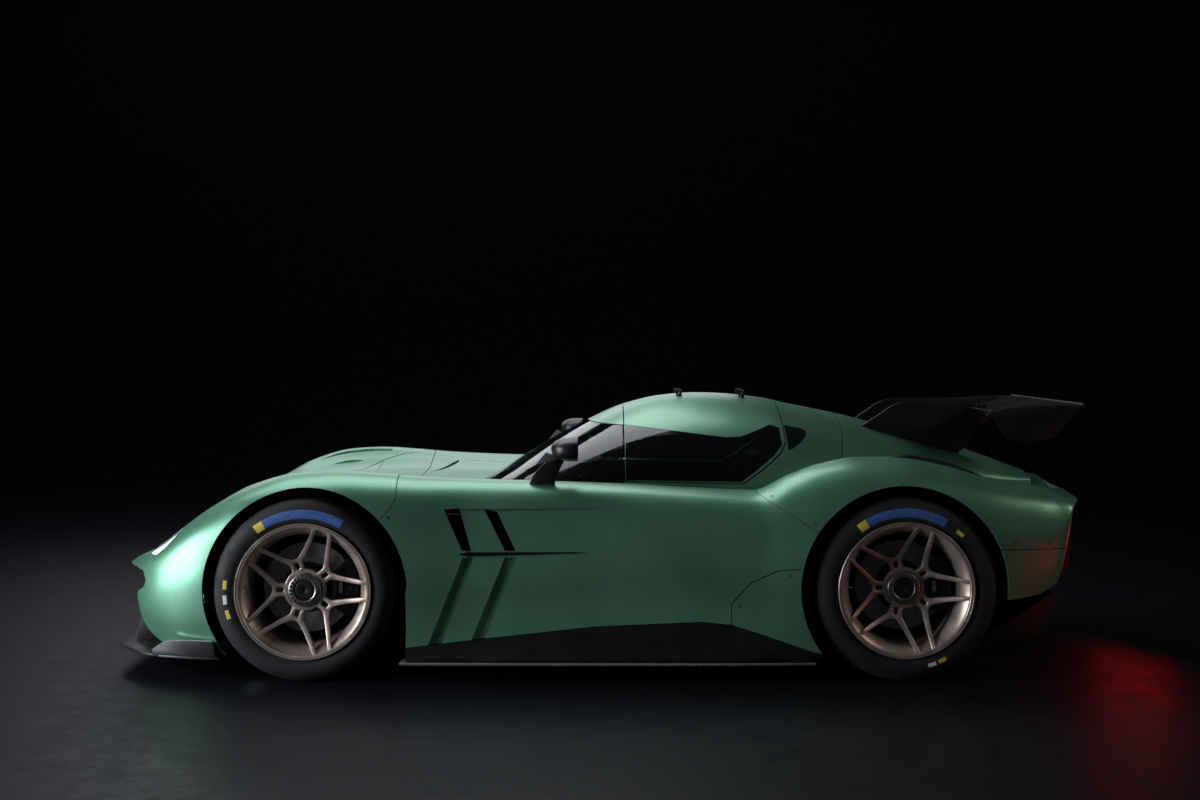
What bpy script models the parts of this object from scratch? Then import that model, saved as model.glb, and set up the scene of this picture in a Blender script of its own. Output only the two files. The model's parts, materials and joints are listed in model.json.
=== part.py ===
import math

import bmesh
import bpy
from mathutils import Matrix, Vector

# Track hypercar. Metres. +X runs to the tail, -Y is the car's left side, +Z is up, the floor is z = 0.
# Driving sizes: each is set once here, and what fits to it is worked out from it.
FRONT_AXLE = -1.248
REAR_AXLE = 1.263
FRONT_TYRE = 0.381
REAR_TYRE = 0.386
FRONT_WIDTH = 0.285
REAR_WIDTH = 0.340
RIM_RADIUS = 0.284
LIP_PLANE = 0.970
TYRE_INSET = 0.005
FRONT_RECESS = 0.057
REAR_RECESS = 0.081
SPOKES = 5
WHEEL_STEPS = 24
SPOKE_DEPTH = 0.024
FORK_SPREAD = 31.0
FORK_START = 0.118
ARM_START = 0.013
ARM_END = 0.010
HUB_DEPTH = 0.020
BELL_DEPTH = 0.040
UPRIGHT_GAP = 0.020
DISC_RADIUS = 0.186
DISC_THICKNESS = 0.032
NUT_RADIUS = 0.069
STUB_RADIUS = 0.030
CALIPER_CLEARANCE = 0.006
ARCH_CLEARANCE = 0.048
ARCH_DEPTH = 0.530

WALL = 0.022
NOSE_CLOSED = -1.610
TAIL_CLOSED = 1.660
TAIL_SOLID = 0.105
GLASS = 0.006
SEAT_GAP = 0.0003
SHUT_GAP = 0.0008
DOOR_GAP = 0.005
FLOOR_TOP = 0.1047
FLOOR_THICKNESS = 0.014
TUB_HALF_WIDTH = 0.600
TUB_FRONT = -0.560
TUB_REAR = 0.930
TUB_TOP = 0.560
TUB_WALL = 0.030
BASE_LEVEL = 0.640
GLASS_LEVEL = 0.780
FIN_PLACE = 0.185
FIN_THICKNESS = 0.010
WING_HALF_SPAN = 0.600
WING_CHORD = 0.410
WING_LEADING = 1.705
PLATE_THICKNESS = 0.008
UPRIGHT_THICKNESS = 0.045
UPPER_BALL = 0.157
LOWER_BALL = 0.155
BALL_BOSS = 0.028
RAIL_PLACE = 0.300
RAIL_WIDTH = 0.055
RAIL_LOW = 0.180
RAIL_TOP = 0.560
CROSS_TOP = 0.242
BLOCK_REAR = 1.620
TAIL_SEAM_HEIGHT = 0.555
GRILLE_LOW = 0.385
GRILLE_TOP = TAIL_SEAM_HEIGHT - 0.025
GRILLE_LOW_HALF = 0.560
GRILLE_TOP_HALF = 0.600
GRILLE_THICKNESS = 0.018
EXHAUST_PLACE = 0.140
EXHAUST_HEIGHT = (GRILLE_LOW + GRILLE_TOP) / 2
EXHAUST_RADIUS = 0.045
EXHAUST_WALL = 0.004
EXHAUST_END = 1.985
TUNNEL_HALF_WIDTH = 0.045
SEAT_SIDE_ROOM = 0.055
SEAT_HALF_WIDTH = (TUB_HALF_WIDTH - TUB_WALL - SEAT_SIDE_ROOM - TUNNEL_HALF_WIDTH) / 2
SEAT_PLACE = TUNNEL_HALF_WIDTH + SEAT_HALF_WIDTH
SEAT_BOLSTER = 0.045
WHEEL_CENTRE = (0.055, -SEAT_PLACE, 0.700)
WHEEL_LEAN = -18.0
WHEEL_RADIUS = 0.150
SPINE_HALF_WIDTH = 0.100
HINGE_RISE = 0.00904
HINGE_RADIUS = 0.007
HINGE_PIN = 0.004
HINGE_LUG = 0.009
HINGE_STATIONS = (0.360, 0.655)

# Sections of the lower body, nose to tail. floor: underside height. sill, low, mid: half widths at the
# underside, a quarter and three fifths of the way up. crest_y, crest_z: top of the wing. valley, middle:
# heights of the dip beside the wing and of the centre line.
BODY_COLUMNS = ("x", "floor", "sill", "low", "mid", "crest_y", "crest_z", "valley", "middle")
BODY = (
    (-2.105, 0.405, 0.280, 0.300, 0.300, 0.200, 0.432, 0.436, 0.437),
    (-2.070, 0.330, 0.500, 0.530, 0.540, 0.420, 0.450, 0.455, 0.458),
    (-2.020, 0.250, 0.640, 0.670, 0.680, 0.550, 0.475, 0.480, 0.482),
    (-1.960, 0.190, 0.730, 0.770, 0.775, 0.640, 0.510, 0.512, 0.512),
    (-1.880, 0.145, 0.800, 0.840, 0.850, 0.700, 0.563, 0.555, 0.548),
    (-1.780, 0.125, 0.860, 0.900, 0.905, 0.735, 0.640, 0.610, 0.598),
    (-1.660, 0.115, 0.900, 0.940, 0.950, 0.760, 0.722, 0.665, 0.650),
    (-1.500, 0.110, 0.940, 0.975, 0.980, 0.770, 0.808, 0.725, 0.705),
    (-1.317, 0.105, 0.960, 0.985, 0.990, 0.775, 0.857, 0.768, 0.750),
    (-1.150, 0.105, 0.965, 0.985, 0.992, 0.775, 0.866, 0.785, 0.770),
    (-0.950, 0.105, 0.970, 0.985, 0.985, 0.770, 0.855, 0.790, 0.780),
    (-0.800, 0.105, 0.985, 0.980, 0.972, 0.770, 0.842, 0.785, 0.775),
    (-0.526, 0.105, 0.990, 0.955, 0.945, 0.770, 0.829, 0.775, 0.765),
    (0.000, 0.105, 0.995, 0.945, 0.935, 0.770, 0.812, 0.760, 0.750),
    (0.450, 0.105, 0.995, 0.950, 0.940, 0.770, 0.787, 0.750, 0.740),
    (0.654, 0.105, 0.990, 0.960, 0.952, 0.770, 0.778, 0.750, 0.745),
    (0.782, 0.105, 0.985, 0.972, 0.968, 0.770, 0.842, 0.760, 0.750),
    (0.917, 0.105, 0.980, 0.980, 0.985, 0.770, 0.894, 0.790, 0.770),
    (1.090, 0.105, 0.980, 0.985, 0.998, 0.770, 0.926, 0.800, 0.780),
    (1.259, 0.105, 0.980, 0.985, 1.000, 0.770, 0.927, 0.800, 0.790),
    (1.435, 0.120, 0.970, 0.980, 0.990, 0.770, 0.899, 0.790, 0.795),
    (1.643, 0.330, 0.950, 0.965, 0.970, 0.765, 0.842, 0.765, 0.800),
    (1.820, 0.362, 0.915, 0.935, 0.942, 0.755, 0.810, 0.757, 0.800),
    (1.910, 0.410, 0.895, 0.915, 0.920, 0.750, 0.790, 0.755, 0.800),
    (1.950, 0.550, 0.885, 0.900, 0.905, 0.745, 0.777, 0.752, 0.800),
    (2.000, 0.680, 0.865, 0.880, 0.885, 0.730, 0.755, 0.750, 0.798),
    (2.060, 0.735, 0.800, 0.815, 0.820, 0.680, 0.760, 0.768, 0.792),
)

# Sections of the greenhouse and its spine: half width at the glass level, top height and how square
# the section is (2 is an ellipse).
CABIN_COLUMNS = ("x", "width", "top", "square")
CABIN = (
    (-0.560, 0.060, 0.765, 2.00),
    (-0.500, 0.330, 0.797, 2.10),
    (-0.440, 0.470, 0.835, 2.10),
    (-0.340, 0.600, 0.900, 2.05),
    (-0.210, 0.655, 0.978, 2.00),
    (-0.060, 0.665, 1.056, 1.95),
    (0.108, 0.665, 1.128, 1.85),
    (0.284, 0.665, 1.168, 1.80),
    (0.437, 0.660, 1.179, 1.80),
    (0.559, 0.655, 1.176, 1.80),
    (0.753, 0.640, 1.155, 1.80),
    (0.863, 0.620, 1.131, 1.80),
    (1.129, 0.530, 1.076, 1.75),
    (1.245, 0.480, 1.046, 1.75),
    (1.450, 0.390, 0.988, 1.80),
    (1.700, 0.300, 0.919, 1.90),
    (1.980, 0.240, 0.818, 2.00),
)

# Side-view lines (x, z) where the panels part.
FRONT_SEAM = ((-0.872, 1.300), (-0.872, 0.846), (-0.865, 0.769), (-0.888, 0.722), (-0.940, 0.670),
              (-1.050, 0.560), (-1.050, -0.100))
REAR_SEAM = ((0.657, 1.300), (0.657, 0.777), (0.909, 0.620), (1.000, 0.560), (1.000, -0.100))
QUARTER_EDGE = ((0.536, -0.100), (0.536, 0.328), (0.617, 0.417), (0.728, 0.467), (0.833, 0.477),
                (1.020, 0.480))
SKIRT_EDGE = ((-0.860, 0.145), (-0.817, 0.151), (-0.467, 0.190), (-0.034, 0.234), (0.411, 0.253),
              (0.538, 0.241), (0.666, 0.202), (0.850, 0.139), (0.960, 0.110))
BONNET_HALF_WIDTH = 0.560
CLAM_SEAM = ((1.112, 1.300), (1.092, 1.000), (1.066, 0.903), (1.050, 0.840), (1.050, 0.500))
DOOR_OUTLINE = ((0.098, 0.816), (0.610, 0.803), (0.700, 0.862), (0.785, 0.932), (0.812, 0.975),
                (0.804, 1.300), (0.098, 1.300))
WINDOW_OUTLINE = ((0.122, 0.834), (0.597, 0.824), (0.667, 0.868), (0.755, 0.935), (0.790, 0.975),
                  (0.786, 1.030), (0.752, 1.040), (0.616, 0.999), (0.549, 0.996), (0.435, 1.009),
                  (0.264, 1.031), (0.122, 1.046))
QUARTER_GLASS = ((0.832, 0.985), (0.879, 0.967), (0.924, 1.001), (0.898, 1.029), (0.832, 1.040))
HEADER_FRONT = (-0.070, 1.050)
HEADER_REAR = (0.093, 1.044)


def clear_scene():
    for item in list(bpy.data.objects):
        bpy.data.objects.remove(item)


clear_scene()
CAR = bpy.data.collections.new("hypercar")
CUTTERS = bpy.data.collections.new("cutters")
bpy.context.scene.collection.children.link(CAR)
bpy.context.scene.collection.children.link(CUTTERS)


def finish(name, colour, roughness, metallic=0.0):
    material = bpy.data.materials.new(name)
    material.use_nodes = True
    shader = material.node_tree.nodes["Principled BSDF"]
    shader.inputs["Base Color"].default_value = (*colour, 1.0)
    shader.inputs["Roughness"].default_value = roughness
    shader.inputs["Metallic"].default_value = metallic
    material.diffuse_color = (*colour, 1.0)
    return material


PAINT = finish("satin_green_paint", (0.055, 0.235, 0.140), 0.35, 0.4)
CARBON = finish("black_carbon", (0.012, 0.012, 0.013), 0.45)
TINT = finish("tinted_glass", (0.015, 0.017, 0.018), 0.08)
BRONZE = finish("bronze_alloy", (0.190, 0.125, 0.080), 0.38, 0.85)
RUBBER = finish("tyre_rubber", (0.018, 0.018, 0.019), 0.80)
IRON = finish("carbon_ceramic_disc", (0.090, 0.090, 0.095), 0.50, 0.3)
STEEL = finish("machined_steel", (0.350, 0.350, 0.360), 0.35, 0.9)
CAST = finish("cast_alloy", (0.230, 0.230, 0.235), 0.50, 0.8)
TRIM = finish("cabin_trim", (0.020, 0.020, 0.022), 0.90)
LENS = finish("clear_lens", (0.600, 0.620, 0.640), 0.06)


def link(name, mesh, material=None, cutter=False):
    item = bpy.data.objects.new(name, mesh)
    (CUTTERS if cutter else CAR).objects.link(item)
    if cutter:
        item.hide_render = True
        item.display_type = "WIRE"
    if material:
        mesh.materials.clear()
        mesh.materials.append(material)
    return item


def evaluated(item):
    bpy.context.view_layer.update()
    graph = bpy.context.evaluated_depsgraph_get()
    return bpy.data.meshes.new_from_object(item.evaluated_get(graph))


def bake(item):
    """Apply an object's modifiers, and give back the object."""
    mesh = evaluated(item)
    item.modifiers.clear()
    item.data = mesh
    return item


def tidy_mesh(mesh, distance=0.00001):
    shape = bmesh.new()
    shape.from_mesh(mesh)
    bmesh.ops.remove_doubles(shape, verts=shape.verts, dist=distance)
    bmesh.ops.dissolve_degenerate(shape, edges=shape.edges, dist=distance)
    bmesh.ops.recalc_face_normals(shape, faces=shape.faces)
    shape.to_mesh(mesh)
    shape.free()
    return mesh


def copy(item, name, cutter=True):
    return link(name, item.data.copy(), None, cutter)


def join(item, tool, how, solver="MANIFOLD"):
    """Boolean of item with tool, applied at once. The exact solver loses the thin skins of this body,
    so its closed solids are cut with the manifold one."""
    change = item.modifiers.new(how.lower(), "BOOLEAN")
    change.operation = how
    change.solver = solver
    change.object = tool
    bake(item)
    bpy.data.objects.remove(tool)
    return item


def box(name, low, high, material=None, cutter=False, bevel=0.0):
    shape = bmesh.new()
    bmesh.ops.create_cube(shape, size=1.0)
    size = [b - a for a, b in zip(low, high)]
    middle = [(a + b) / 2 for a, b in zip(low, high)]
    bmesh.ops.scale(shape, vec=size, verts=shape.verts)
    bmesh.ops.translate(shape, vec=middle, verts=shape.verts)
    if bevel:
        bmesh.ops.bevel(shape, geom=shape.edges, offset=bevel, segments=2, affect="EDGES")
    mesh = bpy.data.meshes.new(name)
    shape.to_mesh(mesh)
    shape.free()
    return link(name, mesh, material, cutter)


AXES = {
    "X": Matrix(((0, 0, 1), (1, 0, 0), (0, 1, 0))).to_4x4(),
    "Y": Matrix(((1, 0, 0), (0, 0, -1), (0, 1, 0))).to_4x4(),
    "Z": Matrix.Identity(4),
}


def plate(name, outline, low, high, axis="Y", material=None, cutter=False):
    """Flat outline, extruded between two places on an axis. Y: (x, z). Z: (x, y). X: (y, z)."""
    curve = bpy.data.curves.new(name, "CURVE")
    curve.dimensions = "2D"
    curve.fill_mode = "BOTH"
    curve.extrude = (high - low) / 2
    line = curve.splines.new("POLY")
    line.points.add(len(outline) - 1)
    for point, (u, v) in zip(line.points, outline):
        point.co = (u, v, 0, 1)
    line.use_cyclic_u = True
    drawn = bpy.data.objects.new(name + "_curve", curve)
    CUTTERS.objects.link(drawn)
    mesh = evaluated(drawn)
    bpy.data.objects.remove(drawn)
    turn = AXES[axis]
    middle = (low + high) / 2
    shift = {"X": (middle, 0, 0), "Y": (0, middle, 0), "Z": (0, 0, middle)}[axis]
    mesh.transform(Matrix.Translation(shift) @ turn)
    tidy_mesh(mesh)
    return link(name, mesh, material, cutter)


def turned(name, profile, steps, place, material=None, cutter=False, axis="Y", side=1):
    """Closed profile (radius, along), turned about an axis through place; side -1 mirrors it."""
    mesh = bpy.data.meshes.new(name)
    points = [(radius, 0.0, along) for radius, along in profile]
    edges = [(i, (i + 1) % len(points)) for i in range(len(points))]
    mesh.from_pydata(points, edges, [])
    item = link(name, mesh, material, cutter)
    screw = item.modifiers.new("screw", "SCREW")
    screw.steps = steps
    screw.render_steps = steps
    screw.axis = "Z"
    screw.use_merge_vertices = True
    screw.merge_threshold = 0.00005
    bake(item)
    turn = Matrix.Identity(4)
    if axis == "Y":
        turn = Matrix.Rotation(math.radians(-90), 4, "X")
    if axis == "X":
        turn = Matrix.Rotation(math.radians(90), 4, "Y")
    if side < 0:
        turn = Matrix.Rotation(math.pi, 4, "Z") @ turn if axis == "Y" else turn
    item.data.transform(turn)
    item.data.transform(Matrix.Translation(place))
    tidy_mesh(item.data)
    if material:
        item.data.materials.clear()
        item.data.materials.append(material)
    return item


def bar(name, start, end, radius, sides=6):
    """Straight round bar between two places, as a cutter or for joining."""
    start, end = Vector(start), Vector(end)
    run = end - start
    shape = bmesh.new()
    bmesh.ops.create_cone(shape, cap_ends=True, segments=sides, radius1=radius, radius2=radius, depth=run.length)
    mesh = bpy.data.meshes.new(name)
    shape.to_mesh(mesh)
    shape.free()
    mesh.transform(Matrix.Translation((start + end) / 2) @ run.to_track_quat("Z", "Y").to_matrix().to_4x4())
    return link(name, mesh, None, True)


def merge(name, pieces, material):
    """Boolean union of overlapping pieces into one named solid."""
    first = pieces[0]
    for other in pieces[1:]:
        join(first, other, "UNION")
    mesh = first.data
    bpy.data.objects.remove(first)
    return link(name, mesh, material)


def smooth_value(rows, column, x):
    """Value of a table's column at x: cubic between rows, without overshoot."""
    xs = [row[0] for row in rows]
    ys = [row[column] for row in rows]
    if x <= xs[0]:
        return ys[0]
    if x >= xs[-1]:
        return ys[-1]
    i = max(k for k in range(len(xs) - 1) if xs[k] <= x)

    def rise(k):
        return (ys[k + 1] - ys[k]) / (xs[k + 1] - xs[k])

    def slope(k):
        if k == 0:
            return rise(0)
        if k == len(xs) - 1:
            return rise(k - 1)
        before, after = rise(k - 1), rise(k)
        if before * after <= 0:
            return 0.0
        left, right = xs[k] - xs[k - 1], xs[k + 1] - xs[k]
        return (left + right) * before * after / (right * before + left * after) \
            if abs(right * before + left * after) > 1e-9 else 0.0

    step = xs[i + 1] - xs[i]
    t = (x - xs[i]) / step
    a, b = slope(i) * step, slope(i + 1) * step
    start, end = ys[i], ys[i + 1]
    return ((2 * t ** 3 - 3 * t ** 2 + 1) * start + (t ** 3 - 2 * t ** 2 + t) * a
            + (3 * t ** 2 - 2 * t ** 3) * end + (t ** 3 - t ** 2) * b)


def curve_through(points, count):
    """Smooth curve through points, count steps to each stretch."""
    ends = [points[0]] + list(points) + [points[-1]]
    line = []
    for i in range(1, len(ends) - 2):
        before, start, end, after = ends[i - 1:i + 3]
        for step in range(count):
            t = step / count
            line.append(tuple(
                0.5 * (2 * start[k] + (end[k] - before[k]) * t
                       + (2 * before[k] - 5 * start[k] + 4 * end[k] - after[k]) * t ** 2
                       + (3 * start[k] - before[k] - 3 * end[k] + after[k]) * t ** 3)
                for k in range(2)))
    line.append(tuple(points[-1]))
    return line


def inward(line, inset):
    """The same half section, moved inside by the wall thickness."""
    moved = []
    for i, (y, z) in enumerate(line):
        before = line[max(i - 1, 0)]
        after = line[min(i + 1, len(line) - 1)]
        dy, dz = after[0] - before[0], after[1] - before[1]
        size = math.hypot(dy, dz) or 1.0
        moved.append((y - inset * dz / size, z + inset * dy / size))
    moved[-1] = (0.0, line[-1][1] - inset)
    return [(max(y, 0.0), z) for y, z in moved]


def body_half(x, count, inset=0.0):
    """Half section of the lower body, from its outer bottom corner over the wing to the centre."""
    (floor, sill, low, mid, crest_y, crest_z, valley, middle) = (
        smooth_value(BODY, column, x) for column in range(1, len(BODY_COLUMNS)))
    height = crest_z - floor
    mid_z = floor + 0.60 * height
    round_y = crest_y + 0.76 * (mid - crest_y)
    round_z = crest_z - 0.27 * (crest_z - mid_z)
    points = ((sill, floor), (low, floor + 0.27 * height), (mid, mid_z), (round_y, round_z),
              (crest_y, crest_z), (crest_y - 0.26 * crest_y, (crest_z + valley) / 2 + 0.004),
              (0.46 * crest_y, valley), (0.0, middle))
    line = curve_through(points, count)
    return inward(line, inset) if inset else line


def cabin_half(x, count, inset=0.0):
    """Half section of the greenhouse: straight below the glass level, a rounded arch above it."""
    width, top, square = (smooth_value(CABIN, column, x) for column in range(1, len(CABIN_COLUMNS)))
    level = min(GLASS_LEVEL, top - 0.030)
    line = [(width, BASE_LEVEL)]
    for step in range(count + 1):
        angle = math.pi / 2 * step / count
        line.append((width * max(math.cos(angle), 0.0) ** (2 / square),
                     level + (top - level) * math.sin(angle) ** (2 / square)))
    return inward(line, inset) if inset else line


def whole(half, under):
    """Closed loop from a half section: the left side, the right side and the underside."""
    left = [(-y, z) for y, z in half]
    right = [(y, z) for y, z in reversed(half[:-1])]
    return left + right + ([(half[0][0], under), (-half[0][0], under)] if under is not None else [])


def loft(name, stations, loop_at, cutter=True):
    """Closed solid through the loops of points (y, z) at each station along X."""
    shape = bmesh.new()
    rings = []
    for x in stations:
        rings.append([shape.verts.new((x, y, z)) for y, z in loop_at(x)])
    for first, second in zip(rings, rings[1:]):
        count = len(first)
        for i in range(count):
            j = (i + 1) % count
            shape.faces.new((first[i], first[j], second[j], second[i]))
    shape.faces.new(rings[0])
    shape.faces.new(rings[-1])
    bmesh.ops.remove_doubles(shape, verts=shape.verts, dist=0.00002)
    bmesh.ops.dissolve_degenerate(shape, edges=shape.edges, dist=0.00001)
    bmesh.ops.recalc_face_normals(shape, faces=shape.faces)
    mesh = bpy.data.meshes.new(name)
    shape.to_mesh(mesh)
    shape.free()
    return link(name, mesh, None, cutter)


def stations(rows, spacing, first=None, last=None):
    """Places along X: every row of a table, with steps between rows no longer than spacing."""
    first = rows[0][0] if first is None else first
    last = rows[-1][0] if last is None else last
    inside = [row[0] for row in rows if first < row[0] < last]
    marks = [first] + inside + [last]
    places = []
    for a, b in zip(marks, marks[1:]):
        parts = max(1, math.ceil((b - a) / spacing - 0.01))
        places += [a + (b - a) * k / parts for k in range(parts)]
    return places + [last]


def lower_outer(name, grow=0.0, spacing=0.20, count=2):
    return loft(name, stations(BODY, spacing), lambda x: whole(body_half(x, count, -grow), None))


def hollow_floor(x):
    """Underside of the hollow: open to the road between the noses of the two arches, closed at the ends."""
    if NOSE_CLOSED < x < TAIL_CLOSED:
        return -0.050
    towards_end = -1 if x < 0 else 1
    return smooth_value(BODY, 1, x + towards_end * 1.4 * WALL) + WALL


def lower_inner(name):
    marks = stations(BODY, 0.30, BODY[0][0] + 3 * WALL, BODY[-1][0] - TAIL_SOLID)
    marks += [x + shift for x in (NOSE_CLOSED, TAIL_CLOSED) for shift in (-0.002, 0.002)]
    marks.sort()

    def loop(x):
        under = hollow_floor(x)
        half = body_half(x, 1, WALL)
        if under > 0:
            half = [(y, max(z, under + 0.001)) for y, z in half]
        return whole(half, under)

    return loft(name, marks, loop)


def cabin_outer(name, grow=0.0, spacing=0.16, count=6):
    return loft(name, stations(CABIN, spacing), lambda x: whole(cabin_half(x, count, -grow), None))


def cabin_inner(name, wall, count=6):
    places = stations(CABIN, 0.20, CABIN[1][0] + 3 * wall, CABIN[-1][0] - 2 * wall)
    return loft(name, places, lambda x: whole(cabin_half(x, count, wall), BASE_LEVEL - 0.3))


def arch_outline(axle, wheel, rear_edge=None):
    """Side outline of a wheel opening; rear_edge squares its lower rear corner."""
    reach = wheel + ARCH_CLEARANCE
    points = []
    steps = 24
    for step in range(steps + 1):
        angle = math.radians(-60 + 300 * step / steps)
        points.append((axle + reach * math.cos(angle), wheel + reach * math.sin(angle)))
    if rear_edge:
        kept = [p for p in points if not (p[0] > axle and p[1] < wheel)]
        points = [(rear_edge, -0.1), (rear_edge + 0.012, 0.6 * wheel), (rear_edge + 0.008, wheel)] + kept
    return points


def cut_arches(item):
    front_reach = FRONT_TYRE + ARCH_CLEARANCE
    for side in (-1, 1):
        near, far = sorted((side * ARCH_DEPTH, side * 1.2))
        outline = arch_outline(FRONT_AXLE + 0.006, FRONT_TYRE, FRONT_AXLE + front_reach - 0.008)
        join(item, plate("front_arch", outline, near, far, cutter=True), "DIFFERENCE")
        outline = arch_outline(REAR_AXLE - 0.006, REAR_TYRE)
        join(item, plate("rear_arch", outline, near, far, cutter=True), "DIFFERENCE")
    return item


def shifted(points, amount):
    return [(x + amount, z) for x, z in points]


def ahead_of(seam, gap=SHUT_GAP):
    """Side outline of everything ahead of a seam."""
    return [(-3.0, seam[0][1]), *shifted(seam, -gap / 2), (-3.0, seam[-1][1])]


def behind(seam, gap=SHUT_GAP):
    return [(3.0, seam[-1][1]), *reversed(shifted(seam, gap / 2)), (3.0, seam[0][1])]


def within(item, outline, low=-1.3, high=1.3, axis="Y"):
    return join(item, plate("region", outline, low, high, axis, cutter=True), "INTERSECT")


def without(item, outline, low=-1.3, high=1.3, axis="Y"):
    return join(item, plate("region", outline, low, high, axis, cutter=True), "DIFFERENCE")


def largest(item):
    """Keep a solid's largest connected piece: the cuts leave slivers on the far side of an arch."""
    shape = bmesh.new()
    shape.from_mesh(item.data)
    left = set(shape.verts)
    groups = []
    while left:
        start = left.pop()
        group = {start}
        queue = [start]
        while queue:
            for edge in queue.pop().link_edges:
                for vert in edge.verts:
                    if vert in left:
                        left.discard(vert)
                        group.add(vert)
                        queue.append(vert)
        groups.append(group)
    groups.sort(key=lambda g: -sum(f.calc_area() for v in g for f in v.link_faces))
    for group in groups[1:]:
        bmesh.ops.delete(shape, geom=list(group), context="VERTS")
    shape.to_mesh(item.data)
    shape.free()
    return item


def named(item, name, material):
    mesh = item.data
    bpy.data.objects.remove(item)
    return link(name, mesh, material)


BOTH = (-1, 1)
LEFT = -1


def span(side, low, high):
    """Y range on one side of the car, low and high from the centre line outwards."""
    return tuple(sorted((side * low, side * high)))


def make_shells():
    """The hollow body, open where the greenhouse stands, and the hollow greenhouse."""
    body = join(lower_outer("body_shell"), cabin_outer("spine_solid"), "UNION")
    join(body, lower_inner("body_hollow"), "DIFFERENCE")
    join(body, cabin_inner("spine_hollow", WALL, 4), "DIFFERENCE")
    cut_arches(body)
    room = within(cabin_outer("cabin_gap", SHUT_GAP), ahead_of(CLAM_SEAM, -SHUT_GAP))
    join(body, room, "DIFFERENCE")
    room = cabin_outer("door_room", DOOR_GAP + SHUT_GAP)
    join(room, box("door_range", (0.085, -1.0, 0.3), (0.840, 1.0, 1.5), cutter=True), "INTERSECT")
    join(body, room, "DIFFERENCE")

    roof = cabin_outer("cabin_shell")
    join(roof, cabin_inner("cabin_hollow", WALL, 4), "DIFFERENCE")
    within(roof, ahead_of(CLAM_SEAM))
    join(roof, lower_outer("lower_solid"), "DIFFERENCE")
    return body, roof


def mirror_left():
    """The right-hand twin of each left piece, as a mirrored solid."""
    for item in list(CAR.objects):
        if not item.name.endswith("_left"):
            continue
        mesh = item.data.copy()
        mesh.transform(Matrix.Scale(-1, 4, (0, 1, 0)))
        mesh.flip_normals()
        link(item.name.replace("_left", "_right"), mesh)


def make_side(lower):
    """Side panel behind the front wheel, with its recess and the two pairs of louvres."""
    panel = copy(lower, "work")
    within(panel, behind(FRONT_SEAM))
    within(panel, ahead_of(REAR_SEAM), *span(LEFT, 0.0, 1.3))
    without(panel, quarter_outline(SHUT_GAP / 2))
    without(panel, skirt_outline(SHUT_GAP / 2))
    edge = BONNET_HALF_WIDTH + SHUT_GAP
    without(panel, [(-1.0, 0.60), (1.0, 0.60), (1.0, 1.3), (-1.0, 1.3)], *span(LEFT, -0.1, edge))
    for slot in LOUVRES:
        without(panel, slot, *span(LEFT, 0.80, 1.3))
    return named(largest(panel), "side_panel_left", PAINT)


def quarter_outline(grow=0.0):
    """Side outline of the lower panel ahead of the rear wheel, moved out by grow."""
    return [(x - grow, z + grow) for x, z in QUARTER_EDGE] + [(QUARTER_EDGE[-1][0], -0.1)]


def skirt_outline(grow=0.0):
    """Side outline of the dark skirt, its upper edge raised by grow."""
    upper = [(x, z + grow) for x, z in SKIRT_EDGE]
    first, last = SKIRT_EDGE[0][0] - 0.035, SKIRT_EDGE[-1][0] + 0.035
    return [(first, 0.020), (first, upper[0][1]), *upper, (last, upper[-1][1]), (last, 0.020)]


LOUVRES = (
    ((-0.664, 0.719), (-0.588, 0.548), (-0.550, 0.548), (-0.602, 0.724)),
    ((-0.498, 0.719), (-0.409, 0.546), (-0.364, 0.546), (-0.444, 0.709)),
    ((-0.588, 0.520), (-0.730, 0.200), (-0.690, 0.200), (-0.540, 0.520)),
    ((-0.413, 0.520), (-0.545, 0.230), (-0.495, 0.230), (-0.357, 0.520)),
)


def make_lower_panels(lower):
    bonnet_plan = [(-1.0, -BONNET_HALF_WIDTH), (1.0, -BONNET_HALF_WIDTH),
                   (1.0, BONNET_HALF_WIDTH), (-1.0, BONNET_HALF_WIDTH)]
    front = copy(lower, "work")
    within(front, ahead_of(FRONT_SEAM))
    cut_nose(front)
    named(largest(front), "front_clam", PAINT)
    bonnet = copy(lower, "work")
    within(bonnet, behind(FRONT_SEAM))
    within(bonnet, bonnet_plan, 0.60, 1.3, "Z")
    within(bonnet, [(-1.0, 0.3), (0.2, 0.3), (0.2, 1.3), (-1.0, 1.3)])
    named(largest(bonnet), "bonnet", PAINT)
    make_side(lower)
    quarter = copy(lower, "work")
    within(quarter, quarter_outline(-SHUT_GAP / 2), *span(LEFT, 0.4, 1.3))
    without(quarter, skirt_outline(SHUT_GAP / 2))
    named(largest(quarter), "rear_quarter_left", PAINT)
    skirt = copy(lower, "work")
    within(skirt, skirt_outline(-SHUT_GAP / 2), *span(LEFT, 0.4, 1.3))
    named(largest(skirt), "skirt_left", CARBON)
    bumper = copy(lower, "work")
    within(bumper, [(1.55, 0.0), (2.3, 0.0), (2.3, TAIL_SEAM_HEIGHT - SHUT_GAP / 2),
                    (1.55, TAIL_SEAM_HEIGHT - SHUT_GAP / 2)])
    cut_tail(bumper)
    named(largest(bumper), "rear_bumper", PAINT)


MOUTH = ((-2.300, 0.436), (-1.975, 0.439), (-1.953, 0.400), (-1.965, 0.372), (-2.008, 0.345),
         (-2.045, 0.300), (-2.045, 0.200), (-2.300, 0.200))


def cut_nose(front):
    """Mouth right across under the beak, and the lamp windows at the corners of the nose."""
    without(front, list(MOUTH))
    for side in BOTH:
        join(front, lamp_prism(side, 0.0), "DIFFERENCE")


LAMP_PLAN = ((-1.955, 0.600), (-1.800, 0.740), (-1.820, 0.780), (-1.905, 0.755), (-1.975, 0.660))


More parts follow.
